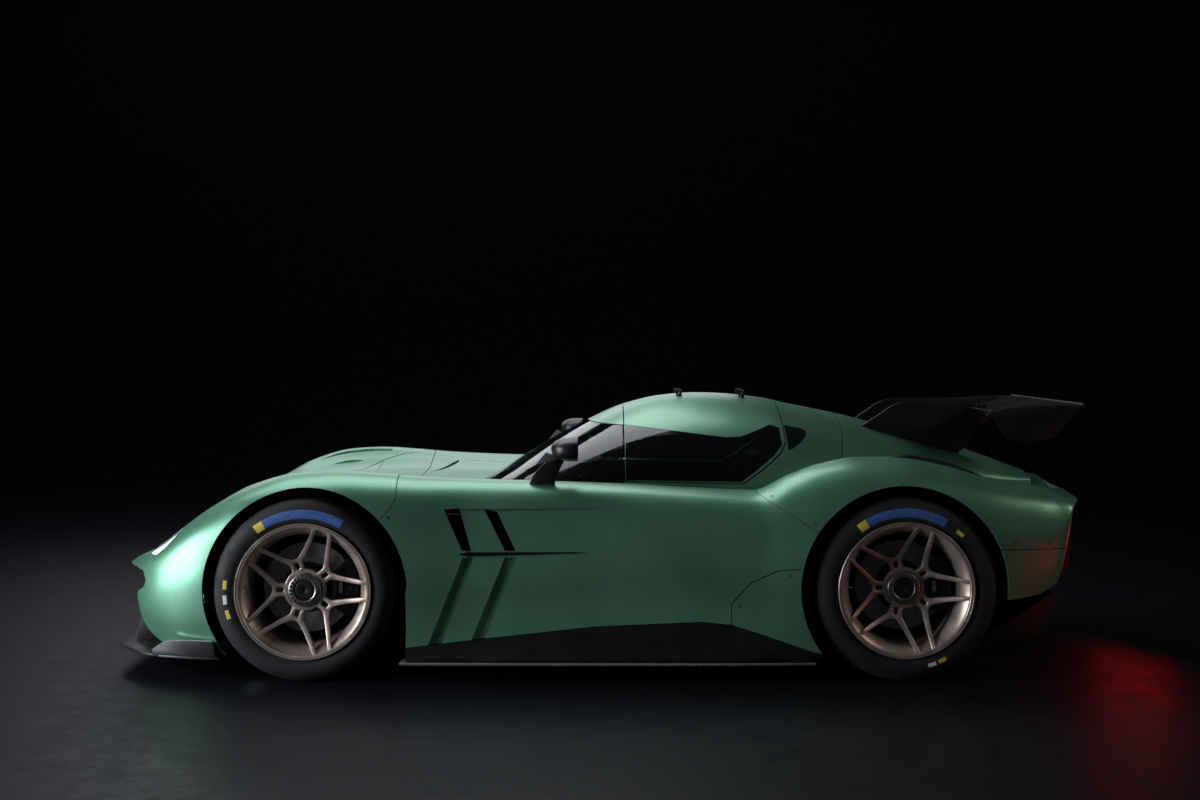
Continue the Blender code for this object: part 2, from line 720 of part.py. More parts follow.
def lamp_prism(side, inset):
    middle_x = sum(x for x, _ in LAMP_PLAN) / len(LAMP_PLAN)
    middle_y = sum(y for _, y in LAMP_PLAN) / len(LAMP_PLAN)
    outline = []
    for x, y in LAMP_PLAN:
        away = math.hypot(x - middle_x, y - middle_y)
        share = 1 - inset / away
        outline.append((middle_x + (x - middle_x) * share, side * (middle_y + (y - middle_y) * share)))
    return plate("lamp_window", outline, 0.40, 0.80, "Z", cutter=True)


def cut_tail(bumper):
    without(bumper, grille_outline(0.0), *TAIL_RANGE, "X")


TAIL_RANGE = (1.80, 2.30)


def grille_outline(inset):
    """The tail's opening (y, z), smaller all round by inset."""
    low, top = GRILLE_LOW + inset, GRILLE_TOP - inset
    return [(-GRILLE_LOW_HALF + inset, low), (GRILLE_LOW_HALF - inset, low),
            (GRILLE_TOP_HALF - inset, top), (-GRILLE_TOP_HALF + inset, top)]


def make_rear_clam(lower):
    clam = copy(lower, "work")
    within(clam, behind(REAR_SEAM))
    without(clam, quarter_outline(SHUT_GAP / 2))
    without(clam, [(1.55, -0.1), (2.4, -0.1), (2.4, TAIL_SEAM_HEIGHT + SHUT_GAP / 2),
                   (1.55, TAIL_SEAM_HEIGHT + SHUT_GAP / 2)])
    for side in BOTH:
        slot = [(1.24, side * 0.700), (1.62, side * 0.690), (1.60, side * 0.660), (1.27, side * 0.655)]
        without(clam, slot, 0.60, 1.20, "Z")
    return named(largest(clam), "rear_clam", PAINT)


def door_outline(grow=0.0):
    """The door's side outline, larger all round by grow."""
    x_mid, z_mid = 0.45, 1.0
    return [(x + math.copysign(grow, x - x_mid), z + math.copysign(grow, z - z_mid)) for x, z in DOOR_OUTLINE]


def shrink(outline, amount):
    """Outline moved inside by an amount, by its edges' directions."""
    area = sum(a[0] * b[1] - b[0] * a[1] for a, b in zip(outline, outline[1:] + outline[:1]))
    turn = 1 if area > 0 else -1
    result = []
    for i, point in enumerate(outline):
        before = outline[i - 1]
        after = outline[(i + 1) % len(outline)]
        first = Vector((point[0] - before[0], point[1] - before[1])).normalized()
        second = Vector((after[0] - point[0], after[1] - point[1])).normalized()
        normal = Vector((-(first.y + second.y), first.x + second.x)) * turn
        normal.normalize()
        edge_normal = Vector((-first.y, first.x)) * turn
        reach = amount / max(normal.dot(edge_normal), 0.3)
        result.append((point[0] + normal.x * reach, point[1] + normal.y * reach))
    return result


def make_canopy(roof):
    """Roof frame with its spine, the two doors with their glass, the windscreen and quarter glasses."""
    glass = cabin_outer("glass_shell")
    join(glass, cabin_inner("glass_hollow", GLASS), "DIFFERENCE")
    join(glass, lower_outer("glass_base"), "DIFFERENCE")

    screen_top = [(-0.80, HEADER_FRONT[1] + 0.010), HEADER_FRONT, HEADER_REAR]
    screen = copy(glass, "work")
    within(screen, [(x, z - SHUT_GAP / 2) for x, z in screen_top]
           + [(HEADER_REAR[0], 0.5), (-0.80, 0.5)])
    within(screen, [(-0.9, 0.4), (HEADER_REAR[0] - SHUT_GAP, 0.4), (HEADER_REAR[0] - SHUT_GAP, 1.3),
                    (-0.9, 1.3)])
    named(largest(screen), "windscreen", TINT)

    frame = copy(roof, "work")
    without(frame, [(x, z + SHUT_GAP / 2) for x, z in screen_top] + [(HEADER_REAR[0], 0.5), (-0.80, 0.5)])
    without(frame, [(HEADER_REAR[0] - 0.01, 0.5), (DOOR_OUTLINE[0][0] - DOOR_GAP, 0.5),
                    (DOOR_OUTLINE[0][0] - DOOR_GAP, HEADER_REAR[1]), (HEADER_REAR[0] - 0.01, HEADER_REAR[1])])
    for side in BOTH:
        opening = plate("door_opening", door_outline(DOOR_GAP), *span(side, SPINE_HALF_WIDTH, 1.3),
                        cutter=True)
        join(frame, opening, "DIFFERENCE")
        without(frame, list(QUARTER_GLASS), *span(side, 0.3, 1.3))
    largest(frame)
    for side in BOTH:
        for place in HINGE_STATIONS:
            for way in (-1, 1):
                join(frame, hinge_lug(place + way * (HINGE_LUG + SEAT_GAP), side, True), "UNION")
    named(frame, "roof_frame", PAINT)

    door = copy(roof, "work")
    within(door, list(DOOR_OUTLINE), *span(LEFT, SPINE_HALF_WIDTH + DOOR_GAP, 1.3))
    without(door, list(WINDOW_OUTLINE), *span(LEFT, 0.2, 1.3))
    largest(door)
    for place in HINGE_STATIONS:
        join(door, hinge_lug(place, LEFT, False), "UNION")
    named(door, "door_left", PAINT)
    for name, outline in (("door_glass_left", WINDOW_OUTLINE), ("quarter_glass_left", QUARTER_GLASS)):
        pane = copy(glass, "work")
        within(pane, shrink(list(outline), SEAT_GAP), *span(LEFT, 0.2, 1.3))
        named(largest(pane), name, TINT)
    bpy.data.objects.remove(glass)


BORE_SIDES = 12


def hinge_height():
    """Height of the door hinges, just over the greenhouse's top between the two of them."""
    return smooth_value(CABIN, 2, sum(HINGE_STATIONS) / 2) + HINGE_RISE


def hinge_lug(x, side, on_roof):
    """Flat hinge lug: bored on the roof's side, with the pin on the door's."""
    height = hinge_height()
    axis_y = SPINE_HALF_WIDTH + DOOR_GAP
    steps = 4
    arc = [math.radians(180 * k / steps) for k in range(steps + 1)]
    head = [(axis_y + HINGE_RADIUS * math.cos(a), height + HINGE_RADIUS * math.sin(a)) for a in arc]
    if on_roof:
        foot = [(SPINE_HALF_WIDTH - 0.030, height - 0.030), (SPINE_HALF_WIDTH - 0.004,
                                                                height - 0.030),
                (SPINE_HALF_WIDTH - 0.001, height - 0.006), (axis_y + HINGE_RADIUS * 0.9,
                                                                 height - 0.004)]
        head = head[::-1]
        foot = foot[::-1]
    else:
        foot = [(axis_y - HINGE_RADIUS * 0.9, height - 0.004), (axis_y + 0.004, height - 0.033),
                (axis_y + 0.030, height - 0.036), (axis_y + 0.022, height - 0.012)]
    outline = [(side * y, z) for y, z in head + foot]
    lug = plate("lug", outline, x - HINGE_LUG / 2, x + HINGE_LUG / 2, "X", cutter=True)
    reach = HINGE_LUG * 1.4
    place = (0, side * axis_y, height)
    if on_roof:
        # the bore's flats, not only its corners, clear the turning pin
        bore = (HINGE_PIN + SEAT_GAP) / math.cos(math.pi / BORE_SIDES)
        hole = turned("bore", [(0, x - reach), (bore, x - reach), (bore, x + reach), (0, x + reach)], BORE_SIDES,
                      place, cutter=True, axis="X")
        return join(lug, hole, "DIFFERENCE")
    pin = turned("pin", [(0, x - reach), (HINGE_PIN, x - reach), (HINGE_PIN, x + reach), (0, x + reach)], 8,
                 place, cutter=True, axis="X")
    return join(lug, pin, "UNION")


def make_lamps(lower_solid):
    lamp = copy(lower_solid, "work")
    join(lamp, lamp_prism(LEFT, SEAT_GAP), "INTERSECT")
    within(lamp, [(-2.2, 0.505), (-1.7, 0.505), (-1.7, 0.9), (-2.2, 0.9)])
    named(largest(lamp), "headlamp_left", LENS)


def make_tyre(name, axle, radius, width, side):
    outer = LIP_PLANE - TYRE_INSET
    inner = outer - width
    bead = RIM_RADIUS - 0.012
    shoulder = 0.030
    profile = [(bead, outer - 0.030), (bead + 0.018, outer - 0.008), (bead + 0.45 * (radius - bead), outer),
               (radius - shoulder * 0.7, outer - 0.012), (radius, outer - 0.052),
               (radius, inner + 0.052), (radius - shoulder * 0.7, inner + 0.012),
               (bead + 0.020, inner), (bead, inner + 0.030)]
    return turned(name, profile, WHEEL_STEPS, (axle, 0, radius), RUBBER, side=side)


def make_rim(name, axle, radius, width, recess, side):
    """Barrel with a stepped lip, hub face and forked spokes that meet the lip in pairs."""
    lip = LIP_PLANE
    back = LIP_PLANE - TYRE_INSET - width + 0.020
    well = RIM_RADIUS - 0.034
    seat = RIM_RADIUS - 0.012 - SEAT_GAP
    profile = [(RIM_RADIUS, lip), (RIM_RADIUS - 0.010, lip), (RIM_RADIUS - 0.026, lip - 0.018),
               (well - 0.007, lip - 0.044), (well - 0.007, back + 0.004), (seat, back),
               (seat, back + 0.020), (well, back + 0.045), (well, lip - 0.080), (seat, lip - 0.055),
               (seat, lip - 0.030)]
    barrel = turned("barrel", profile, WHEEL_STEPS, (0, 0, 0), cutter=True)
    face = lip - recess
    bore = STUB_RADIUS + 0.006
    hub = turned("hub", [(bore, face - SPOKE_DEPTH - HUB_DEPTH), (NUT_RADIUS + 0.017, face - SPOKE_DEPTH - HUB_DEPTH),
                         (NUT_RADIUS + 0.017, face), (NUT_RADIUS, face), (NUT_RADIUS, face + 0.013),
                         (bore, face + 0.008)], 14, (0, 0, 0), cutter=True)
    wheel = barrel
    rim_reach = RIM_RADIUS - 0.032
    for spoke in range(SPOKES):
        angle = math.radians(360 * spoke / SPOKES)
        join(wheel, make_spoke(angle, face, rim_reach, lip), "UNION")
    join(wheel, hub, "UNION")
    if side < 0:
        wheel.data.transform(Matrix.Rotation(math.pi, 4, "Z"))
    wheel.data.transform(Matrix.Translation((axle, 0, radius)))
    return named(largest(wheel), name, BRONZE)


def make_spoke(angle, face, reach, lip):
    """One forked spoke: a stem from the hub that splits into two slim arms to the lip."""
    axis = Vector((math.cos(angle), math.sin(angle)))
    across = Vector((-axis.y, axis.x))
    tips = []
    for way in (-1, 1):
        spread = math.radians(FORK_SPREAD)
        tips.append(axis * (reach * math.cos(spread)) + across * (way * reach * math.sin(spread)))
    root = axis * FORK_START
    shape = bmesh.new()

    def prism(start, end, start_half, end_half, start_face, end_face, depth):
        run = (end - start).normalized()
        side = Vector((-run.y, run.x))
        rows = []
        for point, half, top in ((start, start_half, start_face), (end, end_half, end_face)):
            corners = (point - side * half, point + side * half)
            rows.append([shape.verts.new((c.x, level, c.y)) for level in (top, top - depth)
                         for c in (corners if level == top else reversed(corners))])
        a, b = rows
        for i in range(4):
            j = (i + 1) % 4
            shape.faces.new((a[i], a[j], b[j], b[i]))
        shape.faces.new(a)
        shape.faces.new(b)

    out = lip - 0.026
    mid = face + (out - face) * 0.25
    prism(axis * 0.058, axis * 0.150, 0.026, 0.019, face - 0.003, mid, SPOKE_DEPTH)
    items = []
    mesh = bpy.data.meshes.new("stem")
    bmesh.ops.recalc_face_normals(shape, faces=shape.faces)
    shape.to_mesh(mesh)
    items.append(link("stem", mesh, None, True))
    for way, tip in zip((-1, 1), tips):
        shape.clear()
        start = root + across * (way * 0.0037)
        prism(start, tip + (tip - root).normalized() * 0.006, ARM_START, ARM_END, mid - 0.0013 * (2 + way), out,
              SPOKE_DEPTH)
        bmesh.ops.recalc_face_normals(shape, faces=shape.faces)
        mesh = bpy.data.meshes.new("arm")
        shape.to_mesh(mesh)
        items.append(link("arm", mesh, None, True))
    shape.free()
    join(items[0], items[1], "UNION")
    join(items[0], items[2], "UNION")
    return items[0]


def hub_seat(recess):
    """Distance from the centre plane at which the hub's back meets the disc's bell."""
    return LIP_PLANE - recess - SPOKE_DEPTH - HUB_DEPTH


def ball_place(recess):
    """Distance of the ball joints, and so of the steering axis, from the centre plane."""
    return hub_seat(recess) - BELL_DEPTH - DISC_THICKNESS - UPRIGHT_GAP - UPRIGHT_THICKNESS / 2


def make_disc(name, axle, radius, recess, side):
    """Brake disc on its bell, bored for the stub axle."""
    face = hub_seat(recess) - SEAT_GAP
    outer = face - BELL_DEPTH
    inner = outer - DISC_THICKNESS
    bore = STUB_RADIUS + SEAT_GAP
    profile = [(bore, face), (NUT_RADIUS, face), (NUT_RADIUS + 0.006, outer), (DISC_RADIUS, outer),
               (DISC_RADIUS, inner), (bore, inner)]
    return turned(name, profile, WHEEL_STEPS, (axle, 0, radius), IRON, side=side)


def make_upright(name, axle, radius, recess, side):
    """Upright with its stub axle and the brake caliper behind the axle line."""
    face = hub_seat(recess)
    outer = face - BELL_DEPTH
    inner = outer - DISC_THICKNESS
    plane = inner - UPRIGHT_GAP
    stub = turned("stub", [(0, plane - 0.030), (STUB_RADIUS, plane - 0.030), (STUB_RADIUS, face - 0.004),
                           (0, face - 0.004)], 12, (axle, 0, radius), cutter=True, side=side)
    top = UPPER_BALL - BALL_BOSS / 2 - SEAT_GAP
    low = -(LOWER_BALL - BALL_BOSS / 2 - SEAT_GAP)
    outline = [(-0.040, low), (0.040, low), (0.150, -0.060), (0.150, 0.060), (0.040, top),
               (-0.035, top), (-0.070, 0.0)]
    body = plate("upright", [(axle + x, radius + z) for x, z in outline],
                 *span(side, plane - UPRIGHT_THICKNESS, plane), cutter=True)
    low, high = math.radians(-38), math.radians(38)
    arc = [low + (high - low) * k / 5 for k in range(6)]
    outside = DISC_RADIUS + 0.030
    inside = DISC_RADIUS - 0.062
    ring = [(axle + outside * math.cos(a), radius + outside * math.sin(a)) for a in arc]
    ring += [(axle + inside * math.cos(a), radius + inside * math.sin(a)) for a in reversed(arc)]
    caliper = plate("caliper", ring, *span(side, plane - 0.030, outer + 0.030), cutter=True)
    slot = turned("slot", [(0, inner - CALIPER_CLEARANCE), (DISC_RADIUS + CALIPER_CLEARANCE,
                                                           inner - CALIPER_CLEARANCE),
                           (DISC_RADIUS + CALIPER_CLEARANCE, outer + CALIPER_CLEARANCE),
                           (0, outer + CALIPER_CLEARANCE)], 20, (axle, 0, radius), cutter=True, side=side)
    join(caliper, slot, "DIFFERENCE")
    return merge(name, [body, caliper, stub], CAST)


def make_corners():
    front = (FRONT_AXLE, FRONT_TYRE)
    rear = (REAR_AXLE, REAR_TYRE)
    make_tyre("tyre_front_left", *front, FRONT_WIDTH, LEFT)
    make_tyre("tyre_rear_left", *rear, REAR_WIDTH, LEFT)
    make_rim("rim_front_left", *front, FRONT_WIDTH, FRONT_RECESS, LEFT)
    make_rim("rim_rear_left", *rear, REAR_WIDTH, REAR_RECESS, LEFT)
    make_disc("disc_front_left", *front, FRONT_RECESS, LEFT)
    make_disc("disc_rear_left", *rear, REAR_RECESS, LEFT)
    make_upright("upright_front_left", *front, FRONT_RECESS, LEFT)
    make_upright("upright_rear_left", *rear, REAR_RECESS, LEFT)


def make_frame(name, axle, radius, low_x, high_x, ball_y):
    """Two chassis rails with cross members, and upper and lower wishbones out to the uprights."""
    pieces = []
    boss = BALL_BOSS / 2
    for side in (-1, 1):
        near, far = span(side, RAIL_PLACE, RAIL_PLACE + RAIL_WIDTH)
        pieces.append(box("rail", (low_x, near, RAIL_LOW), (high_x, far, RAIL_TOP), cutter=True))
    reach = RAIL_PLACE + RAIL_WIDTH / 2
    for x in (axle - 0.190, axle + 0.190):
        pieces.append(box("cross", (x - 0.025, -reach, CROSS_TOP - 0.050), (x + 0.025, reach, CROSS_TOP),
                          cutter=True))
    for side in (-1, 1):
        for height, half, drop in ((UPPER_BALL, 0.150, -0.020), (-LOWER_BALL, 0.190, 0.020)):
            ball = (axle, side * ball_y, radius + height)
            for way in (-1, 1):
                root = (axle + way * half, side * (RAIL_PLACE + RAIL_WIDTH / 2),
                        min(max(radius + height + drop, RAIL_LOW + 0.020), RAIL_TOP - 0.020))
                pieces.append(bar("arm", root, (axle + way * 0.0045, ball[1], ball[2] + way * 0.0007), 0.011))
            pieces.append(turned("boss", [(0, -boss), (0.021, -boss), (0.021, boss), (0, boss)], 10,
                                 ball, cutter=True, axis="Z"))
    return merge(name, pieces, CAST)


def make_chassis():
    half = 0.985
    notch = ARCH_DEPTH - 0.030
    plan = [(-1.660, -notch), (-0.815, -notch), (-0.815, -half), (0.835, -half), (0.835, -notch),
            (1.560, -notch), (1.560, notch), (0.835, notch), (0.835, half), (-0.815, half),
            (-0.815, notch), (-1.660, notch)]
    plate("floor_pan", plan, FLOOR_TOP - FLOOR_THICKNESS, FLOOR_TOP, "Z", CARBON)

    wall = TUB_WALL
    base = FLOOR_TOP + SEAT_GAP
    tub = box("tub", (TUB_FRONT, -TUB_HALF_WIDTH, base), (TUB_REAR, TUB_HALF_WIDTH, TUB_TOP), cutter=True)
    join(tub, box("room", (TUB_FRONT + wall, -TUB_HALF_WIDTH + wall, base + wall),
                  (TUB_REAR - wall, TUB_HALF_WIDTH - wall, TUB_TOP + 0.1), cutter=True), "DIFFERENCE")
    named(tub, "cabin_tub", CARBON)

    make_frame("front_suspension", FRONT_AXLE, FRONT_TYRE, -1.700, TUB_FRONT - SEAT_GAP,
               ball_place(FRONT_RECESS))
    make_frame("rear_suspension", REAR_AXLE, REAR_TYRE, TUB_REAR + SEAT_GAP, 1.600,
               ball_place(REAR_RECESS))
    block_low = CROSS_TOP + SEAT_GAP
    box("engine_block", (TUB_REAR + 0.040, -0.290, block_low), (BLOCK_REAR, 0.290, block_low + 0.400), CAST,
        bevel=0.020)
    exhaust = [bar("pipe", (1.700, side * EXHAUST_PLACE, EXHAUST_HEIGHT),
                   (EXHAUST_END, side * EXHAUST_PLACE, EXHAUST_HEIGHT), EXHAUST_RADIUS, 16) for side in (-1, 1)]
    inner = [bar("pipe_bore", (1.760, side * EXHAUST_PLACE, EXHAUST_HEIGHT),
                 (EXHAUST_END + 0.065, side * EXHAUST_PLACE, EXHAUST_HEIGHT),
                 EXHAUST_RADIUS - EXHAUST_WALL, 16) for side in (-1, 1)]
    can = box("can", (BLOCK_REAR + SEAT_GAP, -0.260, EXHAUST_HEIGHT - 0.0575),
              (1.740, 0.260, EXHAUST_HEIGHT + 0.0825), cutter=True, bevel=0.020)
    silencer = merge("exhaust", [can, *exhaust], STEEL)
    for bore in inner:
        join(silencer, bore, "DIFFERENCE")


def make_cabin():
    """Dashboard with the steering column, the wheel and two bucket seats."""
    dash_low = TUB_TOP + SEAT_GAP
    outline = [(-0.330, dash_low), (-0.075, dash_low), (-0.060, 0.640), (-0.100, 0.745), (-0.200, 0.775),
               (-0.330, 0.750)]
    half = TUB_HALF_WIDTH - 0.030
    dash = plate("dash", outline, -half, half, "Y", cutter=True)
    centre = Vector(WHEEL_CENTRE)
    lean = Matrix.Rotation(math.radians(WHEEL_LEAN), 4, "Y")
    away = lean @ Vector((-1, 0, 0))
    start = centre + away * (0.016 + SEAT_GAP)
    column = bar("column", start, start + away * 0.200, 0.020, 12)
    join(dash, column, "UNION")
    named(dash, "dashboard", TRIM)

    shape = bmesh.new()
    mesh = bpy.data.meshes.new("steering_wheel")
    steps, sides = 20, 6
    rings = []
    for i in range(steps):
        turn = 2 * math.pi * i / steps
        ring = []
        for j in range(sides):
            angle = 2 * math.pi * j / sides
            reach = WHEEL_RADIUS + 0.013 * math.cos(angle)
            ring.append(shape.verts.new((0.013 * math.sin(angle), reach * math.cos(turn),
                                         0.86 * reach * math.sin(turn))))
        rings.append(ring)
    for i in range(steps):
        first, second = rings[i], rings[(i + 1) % steps]
        for j in range(sides):
            k = (j + 1) % sides
            shape.faces.new((first[j], first[k], second[k], second[j]))
    bmesh.ops.recalc_face_normals(shape, faces=shape.faces)
    shape.to_mesh(mesh)
    shape.free()
    wheel = link("wheel", mesh, None, True)
    cross = box("cross_bar", (-0.008, -WHEEL_RADIUS, -0.045), (0.008, WHEEL_RADIUS, 0.030), cutter=True)
    hub = box("hub", (-0.016, -0.055, -0.050), (0.016, 0.055, 0.040), cutter=True, bevel=0.006)
    wheel = merge("steering_wheel", [wheel, cross, hub], TRIM)
    wheel.data.transform(Matrix.Translation(centre) @ lean)

    base = FLOOR_TOP + SEAT_GAP + TUB_WALL + SEAT_GAP
    side_view = [(0.100, base), (0.640, base), (0.830, 0.820), (0.790, 0.875), (0.720, 0.870), (0.585, 0.480),
                 (0.300, 0.360), (0.100, 0.330)]
    hollow = [(0.020, 0.250), (0.480, 0.205), (0.745, 0.920), (0.300, 1.200), (0.000, 1.000)]
    half = SEAT_HALF_WIDTH
    seat = plate("seat", side_view, *span(LEFT, SEAT_PLACE - half, SEAT_PLACE + half), cutter=True)
    half = SEAT_HALF_WIDTH - SEAT_BOLSTER
    room = plate("seat_room", hollow, *span(LEFT, SEAT_PLACE - half, SEAT_PLACE + half), cutter=True)
    join(seat, room, "DIFFERENCE")
    named(seat, "seat_left", TRIM)


def make_aero():
    """Front splitter with its fences, rear diffuser, wing on two fins, and the mirrors."""
    notch = ARCH_DEPTH - 0.030
    plan = [(-2.117, -0.618), (-1.935, -0.850), (-1.750, -0.928), (-1.628, -0.950), (-1.600, -0.950),
            (-1.600, -notch - SEAT_GAP), (-1.660 - SEAT_GAP, -notch - SEAT_GAP)]
    plan += [(x, -y) for x, y in reversed(plan)]
    splitter = plate("splitter", plan, FLOOR_TOP - 0.011, FLOOR_TOP, "Z", cutter=True)
    for side in (-1, 1):
        fence = [(-1.900, 0.098), (-1.610, 0.098), (-1.625, 0.171), (-1.700, 0.160), (-1.900, 0.120)]
        piece = plate("fence", fence, -0.004, 0.004, "Y", cutter=True)
        piece.data.transform(Matrix.Translation((-1.610, side * 0.944, 0))
                             @ Matrix.Rotation(side * math.radians(13), 4, "Z")
                             @ Matrix.Translation((1.610, 0, 0)))
        join(splitter, piece, "UNION")
    named(splitter, "front_splitter", CARBON)

    half = 0.780
    diffuser = plate("diffuser", [(1.5603, 0.092), (1.5603, 0.104), (1.930, 0.345), (1.942, 0.336)],
                     -half, half, "Y", cutter=True)
    plates = [(1.5603, 0.092), (1.640, 0.092), (1.863, 0.142), (1.938, 0.350), (1.925, 0.354), (1.5603, 0.118)]
    for y in (-0.784, -0.420, -0.150, 0.150, 0.420, 0.784):
        join(diffuser, plate("strake", plates, y - 0.005, y + 0.005, "Y", cutter=True), "UNION")
    for side in (-1, 1):
        low, high = span(side, 0.20, 1.0)
        wheel_room = plate("wheel_room", arch_outline(REAR_AXLE - 0.006, REAR_TYRE), low, high, cutter=True)
        join(diffuser, wheel_room, "DIFFERENCE")
    named(largest(diffuser), "diffuser", CARBON)

    section = wing_section()
    wing = plate("wing_plane", section, -WING_HALF_SPAN, WING_HALF_SPAN, "Y", cutter=True)
    for side in (-1, 1):
        low, high = span(side, WING_HALF_SPAN - PLATE_THICKNESS / 2, WING_HALF_SPAN + PLATE_THICKNESS / 2)
        join(wing, plate("endplate", list(END_PLATE), low, high, "Y", cutter=True), "UNION")
    low, high = span(LEFT, FIN_PLACE - FIN_THICKNESS / 2, FIN_PLACE + FIN_THICKNESS / 2)
    fin = plate("fin", list(FIN_OUTLINE), low, high, "Y", cutter=True)
    join(fin, plate("wing_room", shrink(section, -SEAT_GAP), low - 0.1, high + 0.1, "Y", cutter=True),
         "DIFFERENCE")
    join(fin, cabin_outer("fin_seat", SHUT_GAP), "DIFFERENCE")
    without(fin, [(1.560, 0.800), (1.700, 0.800), (1.700, 0.900), (1.655, 0.9205), (1.560, 0.955)])
    named(largest(fin), "fin_left", CARBON)
    named(wing, "rear_wing", CARBON)
    make_mirror(LEFT)


FIN_OUTLINE = ((1.150, 0.940), (1.172, 1.006), (1.230, 1.045), (1.338, 1.118), (1.415, 1.145), (1.620, 1.147),
               (1.800, 1.147), (1.771, 1.072), (1.717, 0.971), (1.678, 0.922), (1.651, 0.898), (1.600, 0.860))
END_PLATE = ((1.682, 1.096), (1.715, 1.089), (1.759, 1.012), (1.791, 0.987), (1.908, 0.983), (1.959, 0.994),
             (2.003, 1.019), (2.046, 1.078), (2.090, 1.114), (2.119, 1.134), (2.119, 1.142), (1.900, 1.140),
             (1.700, 1.112))


def wing_section():
    """Aerofoil outline (x, z): thin upper line and a fuller underside, nose forward."""
    steps = 9
    top, bottom = [], []
    for step in range(steps + 1):
        t = (1 - math.cos(math.pi * step / steps)) / 2
        thick = 0.030 * math.sqrt(t) * (1 - t) * 1.9 + 0.0015
        line = 1.115 + 0.031 * t ** 1.2 - 0.035 * math.sin(math.pi * t)
        x = WING_LEADING + WING_CHORD * t
        top.append((x, line + 0.45 * thick))
        bottom.append((x, line - 0.55 * thick))
    return top + bottom[::-1]


def make_mirror(side):
    stalk_outline = [(-0.318, 0.790), (-0.208, 0.790), (-0.150, 0.935), (-0.215, 0.935)]
    stalk = plate("stalk", stalk_outline, *span(side, 0.790, 0.806), cutter=True)
    join(stalk, lower_outer("mirror_seat", SEAT_GAP), "DIFFERENCE")
    largest(stalk)
    shape = bmesh.new()
    bmesh.ops.create_uvsphere(shape, u_segments=16, v_segments=10, radius=1.0)
    bmesh.ops.scale(shape, vec=(0.080, 0.105, 0.050), verts=shape.verts)
    bmesh.ops.translate(shape, vec=(-0.140, side * 0.830, 0.964), verts=shape.verts)
    mesh = bpy.data.meshes.new("housing")
    shape.to_mesh(mesh)
    shape.free()
    housing = link("housing", mesh, None, True)
    join(housing, box("mirror_face", (-0.105, side * 0.830 - 0.2, 0.8), (0.1, side * 0.830 + 0.2, 1.1),
                      cutter=True), "DIFFERENCE")
    merge("mirror_left", [housing, stalk], CARBON)


def make_rear_grille(lower_solid):
    grille = copy(lower_solid, "work")
    within(grille, grille_outline(SEAT_GAP), *TAIL_RANGE, "X")
    behind_face = copy(lower_solid, "work_back")
    behind_face.data.transform(Matrix.Translation((-GRILLE_THICKNESS, 0, 0)))
    join(grille, behind_face, "DIFFERENCE")
    for side in (-1, 1):
        hole = bar("pipe_room", (1.700, side * EXHAUST_PLACE, EXHAUST_HEIGHT),
                   (2.200, side * EXHAUST_PLACE, EXHAUST_HEIGHT), EXHAUST_RADIUS + SEAT_GAP, 16)
        join(grille, hole, "DIFFERENCE")
    named(largest(grille), "rear_grille", CARBON)


def build():
    lower, roof = make_shells()
    lower_solid = lower_outer("lower_whole")
    make_lower_panels(lower)
    make_rear_clam(lower)
    make_canopy(roof)
    make_lamps(lower_solid)
    make_rear_grille(lower_solid)
    make_corners()
    make_chassis()
    make_cabin()
    make_aero()
    mirror_left()
    for spare in list(CUTTERS.objects):
        bpy.data.objects.remove(spare)


build()
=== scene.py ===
import json
import math
from functools import partial
from math import copysign, cos, exp, hypot, pi, radians, sin

import bmesh
import bpy
from mathutils import Matrix, Vector
from mathutils.bvhtree import BVHTree
from mathutils.interpolate import poly_3d_calc

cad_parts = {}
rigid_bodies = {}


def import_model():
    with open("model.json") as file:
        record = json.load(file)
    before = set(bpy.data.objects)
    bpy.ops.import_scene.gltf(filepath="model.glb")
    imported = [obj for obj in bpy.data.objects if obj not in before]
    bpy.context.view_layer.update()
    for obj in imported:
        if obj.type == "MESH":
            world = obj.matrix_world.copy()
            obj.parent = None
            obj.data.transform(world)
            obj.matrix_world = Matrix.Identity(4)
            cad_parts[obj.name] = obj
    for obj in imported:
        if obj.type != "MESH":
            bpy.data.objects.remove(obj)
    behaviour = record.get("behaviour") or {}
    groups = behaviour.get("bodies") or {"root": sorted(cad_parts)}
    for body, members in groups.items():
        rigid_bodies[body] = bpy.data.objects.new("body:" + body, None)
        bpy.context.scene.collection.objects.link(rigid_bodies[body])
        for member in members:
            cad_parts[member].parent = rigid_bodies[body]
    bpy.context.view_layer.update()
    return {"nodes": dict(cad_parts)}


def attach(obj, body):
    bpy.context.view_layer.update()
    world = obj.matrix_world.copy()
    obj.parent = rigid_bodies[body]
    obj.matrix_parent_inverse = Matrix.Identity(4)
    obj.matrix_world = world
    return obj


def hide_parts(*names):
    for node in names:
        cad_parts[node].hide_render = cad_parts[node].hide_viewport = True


# Metres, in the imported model's frame: +X to the tail, -Y the car's left, +Z up, floor at zero.
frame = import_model()
print("stage: frame loaded")


def linear(hexCode):
    # sRGB hex to the linear colour that the shaders take
    parts = [int(hexCode[i:i + 2], 16) / 255 for i in (1, 3, 5)]
    return tuple(p / 12.92 if p <= 0.04045 else ((p + 0.055) / 1.055) ** 2.4 for p in parts) + (1.0,)


def addNode(tree, kind, result, *sources, **settings):
    # one node with its settings and links: a socket given as a setting is linked
    node = tree.nodes.new("ShaderNode" + kind)
    for source, socket in zip(sources, node.inputs):
        tree.links.new(source, socket)
    for key, value in settings.items():
        socket = node.inputs.get(key.replace("_", " "))
        if key == "stops":
            points = node.color_ramp.elements
            while len(points) < len(value):
                points.new(0.5)
            for point, (place, colour) in zip(points, value):
                point.position = place
                point.color = linear(colour)
        elif isinstance(value, bpy.types.NodeSocket):
            tree.links.new(value, socket)
        elif socket is not None:
            socket.default_value = value
        else:
            setattr(node, key, value)
    return node.outputs[result]


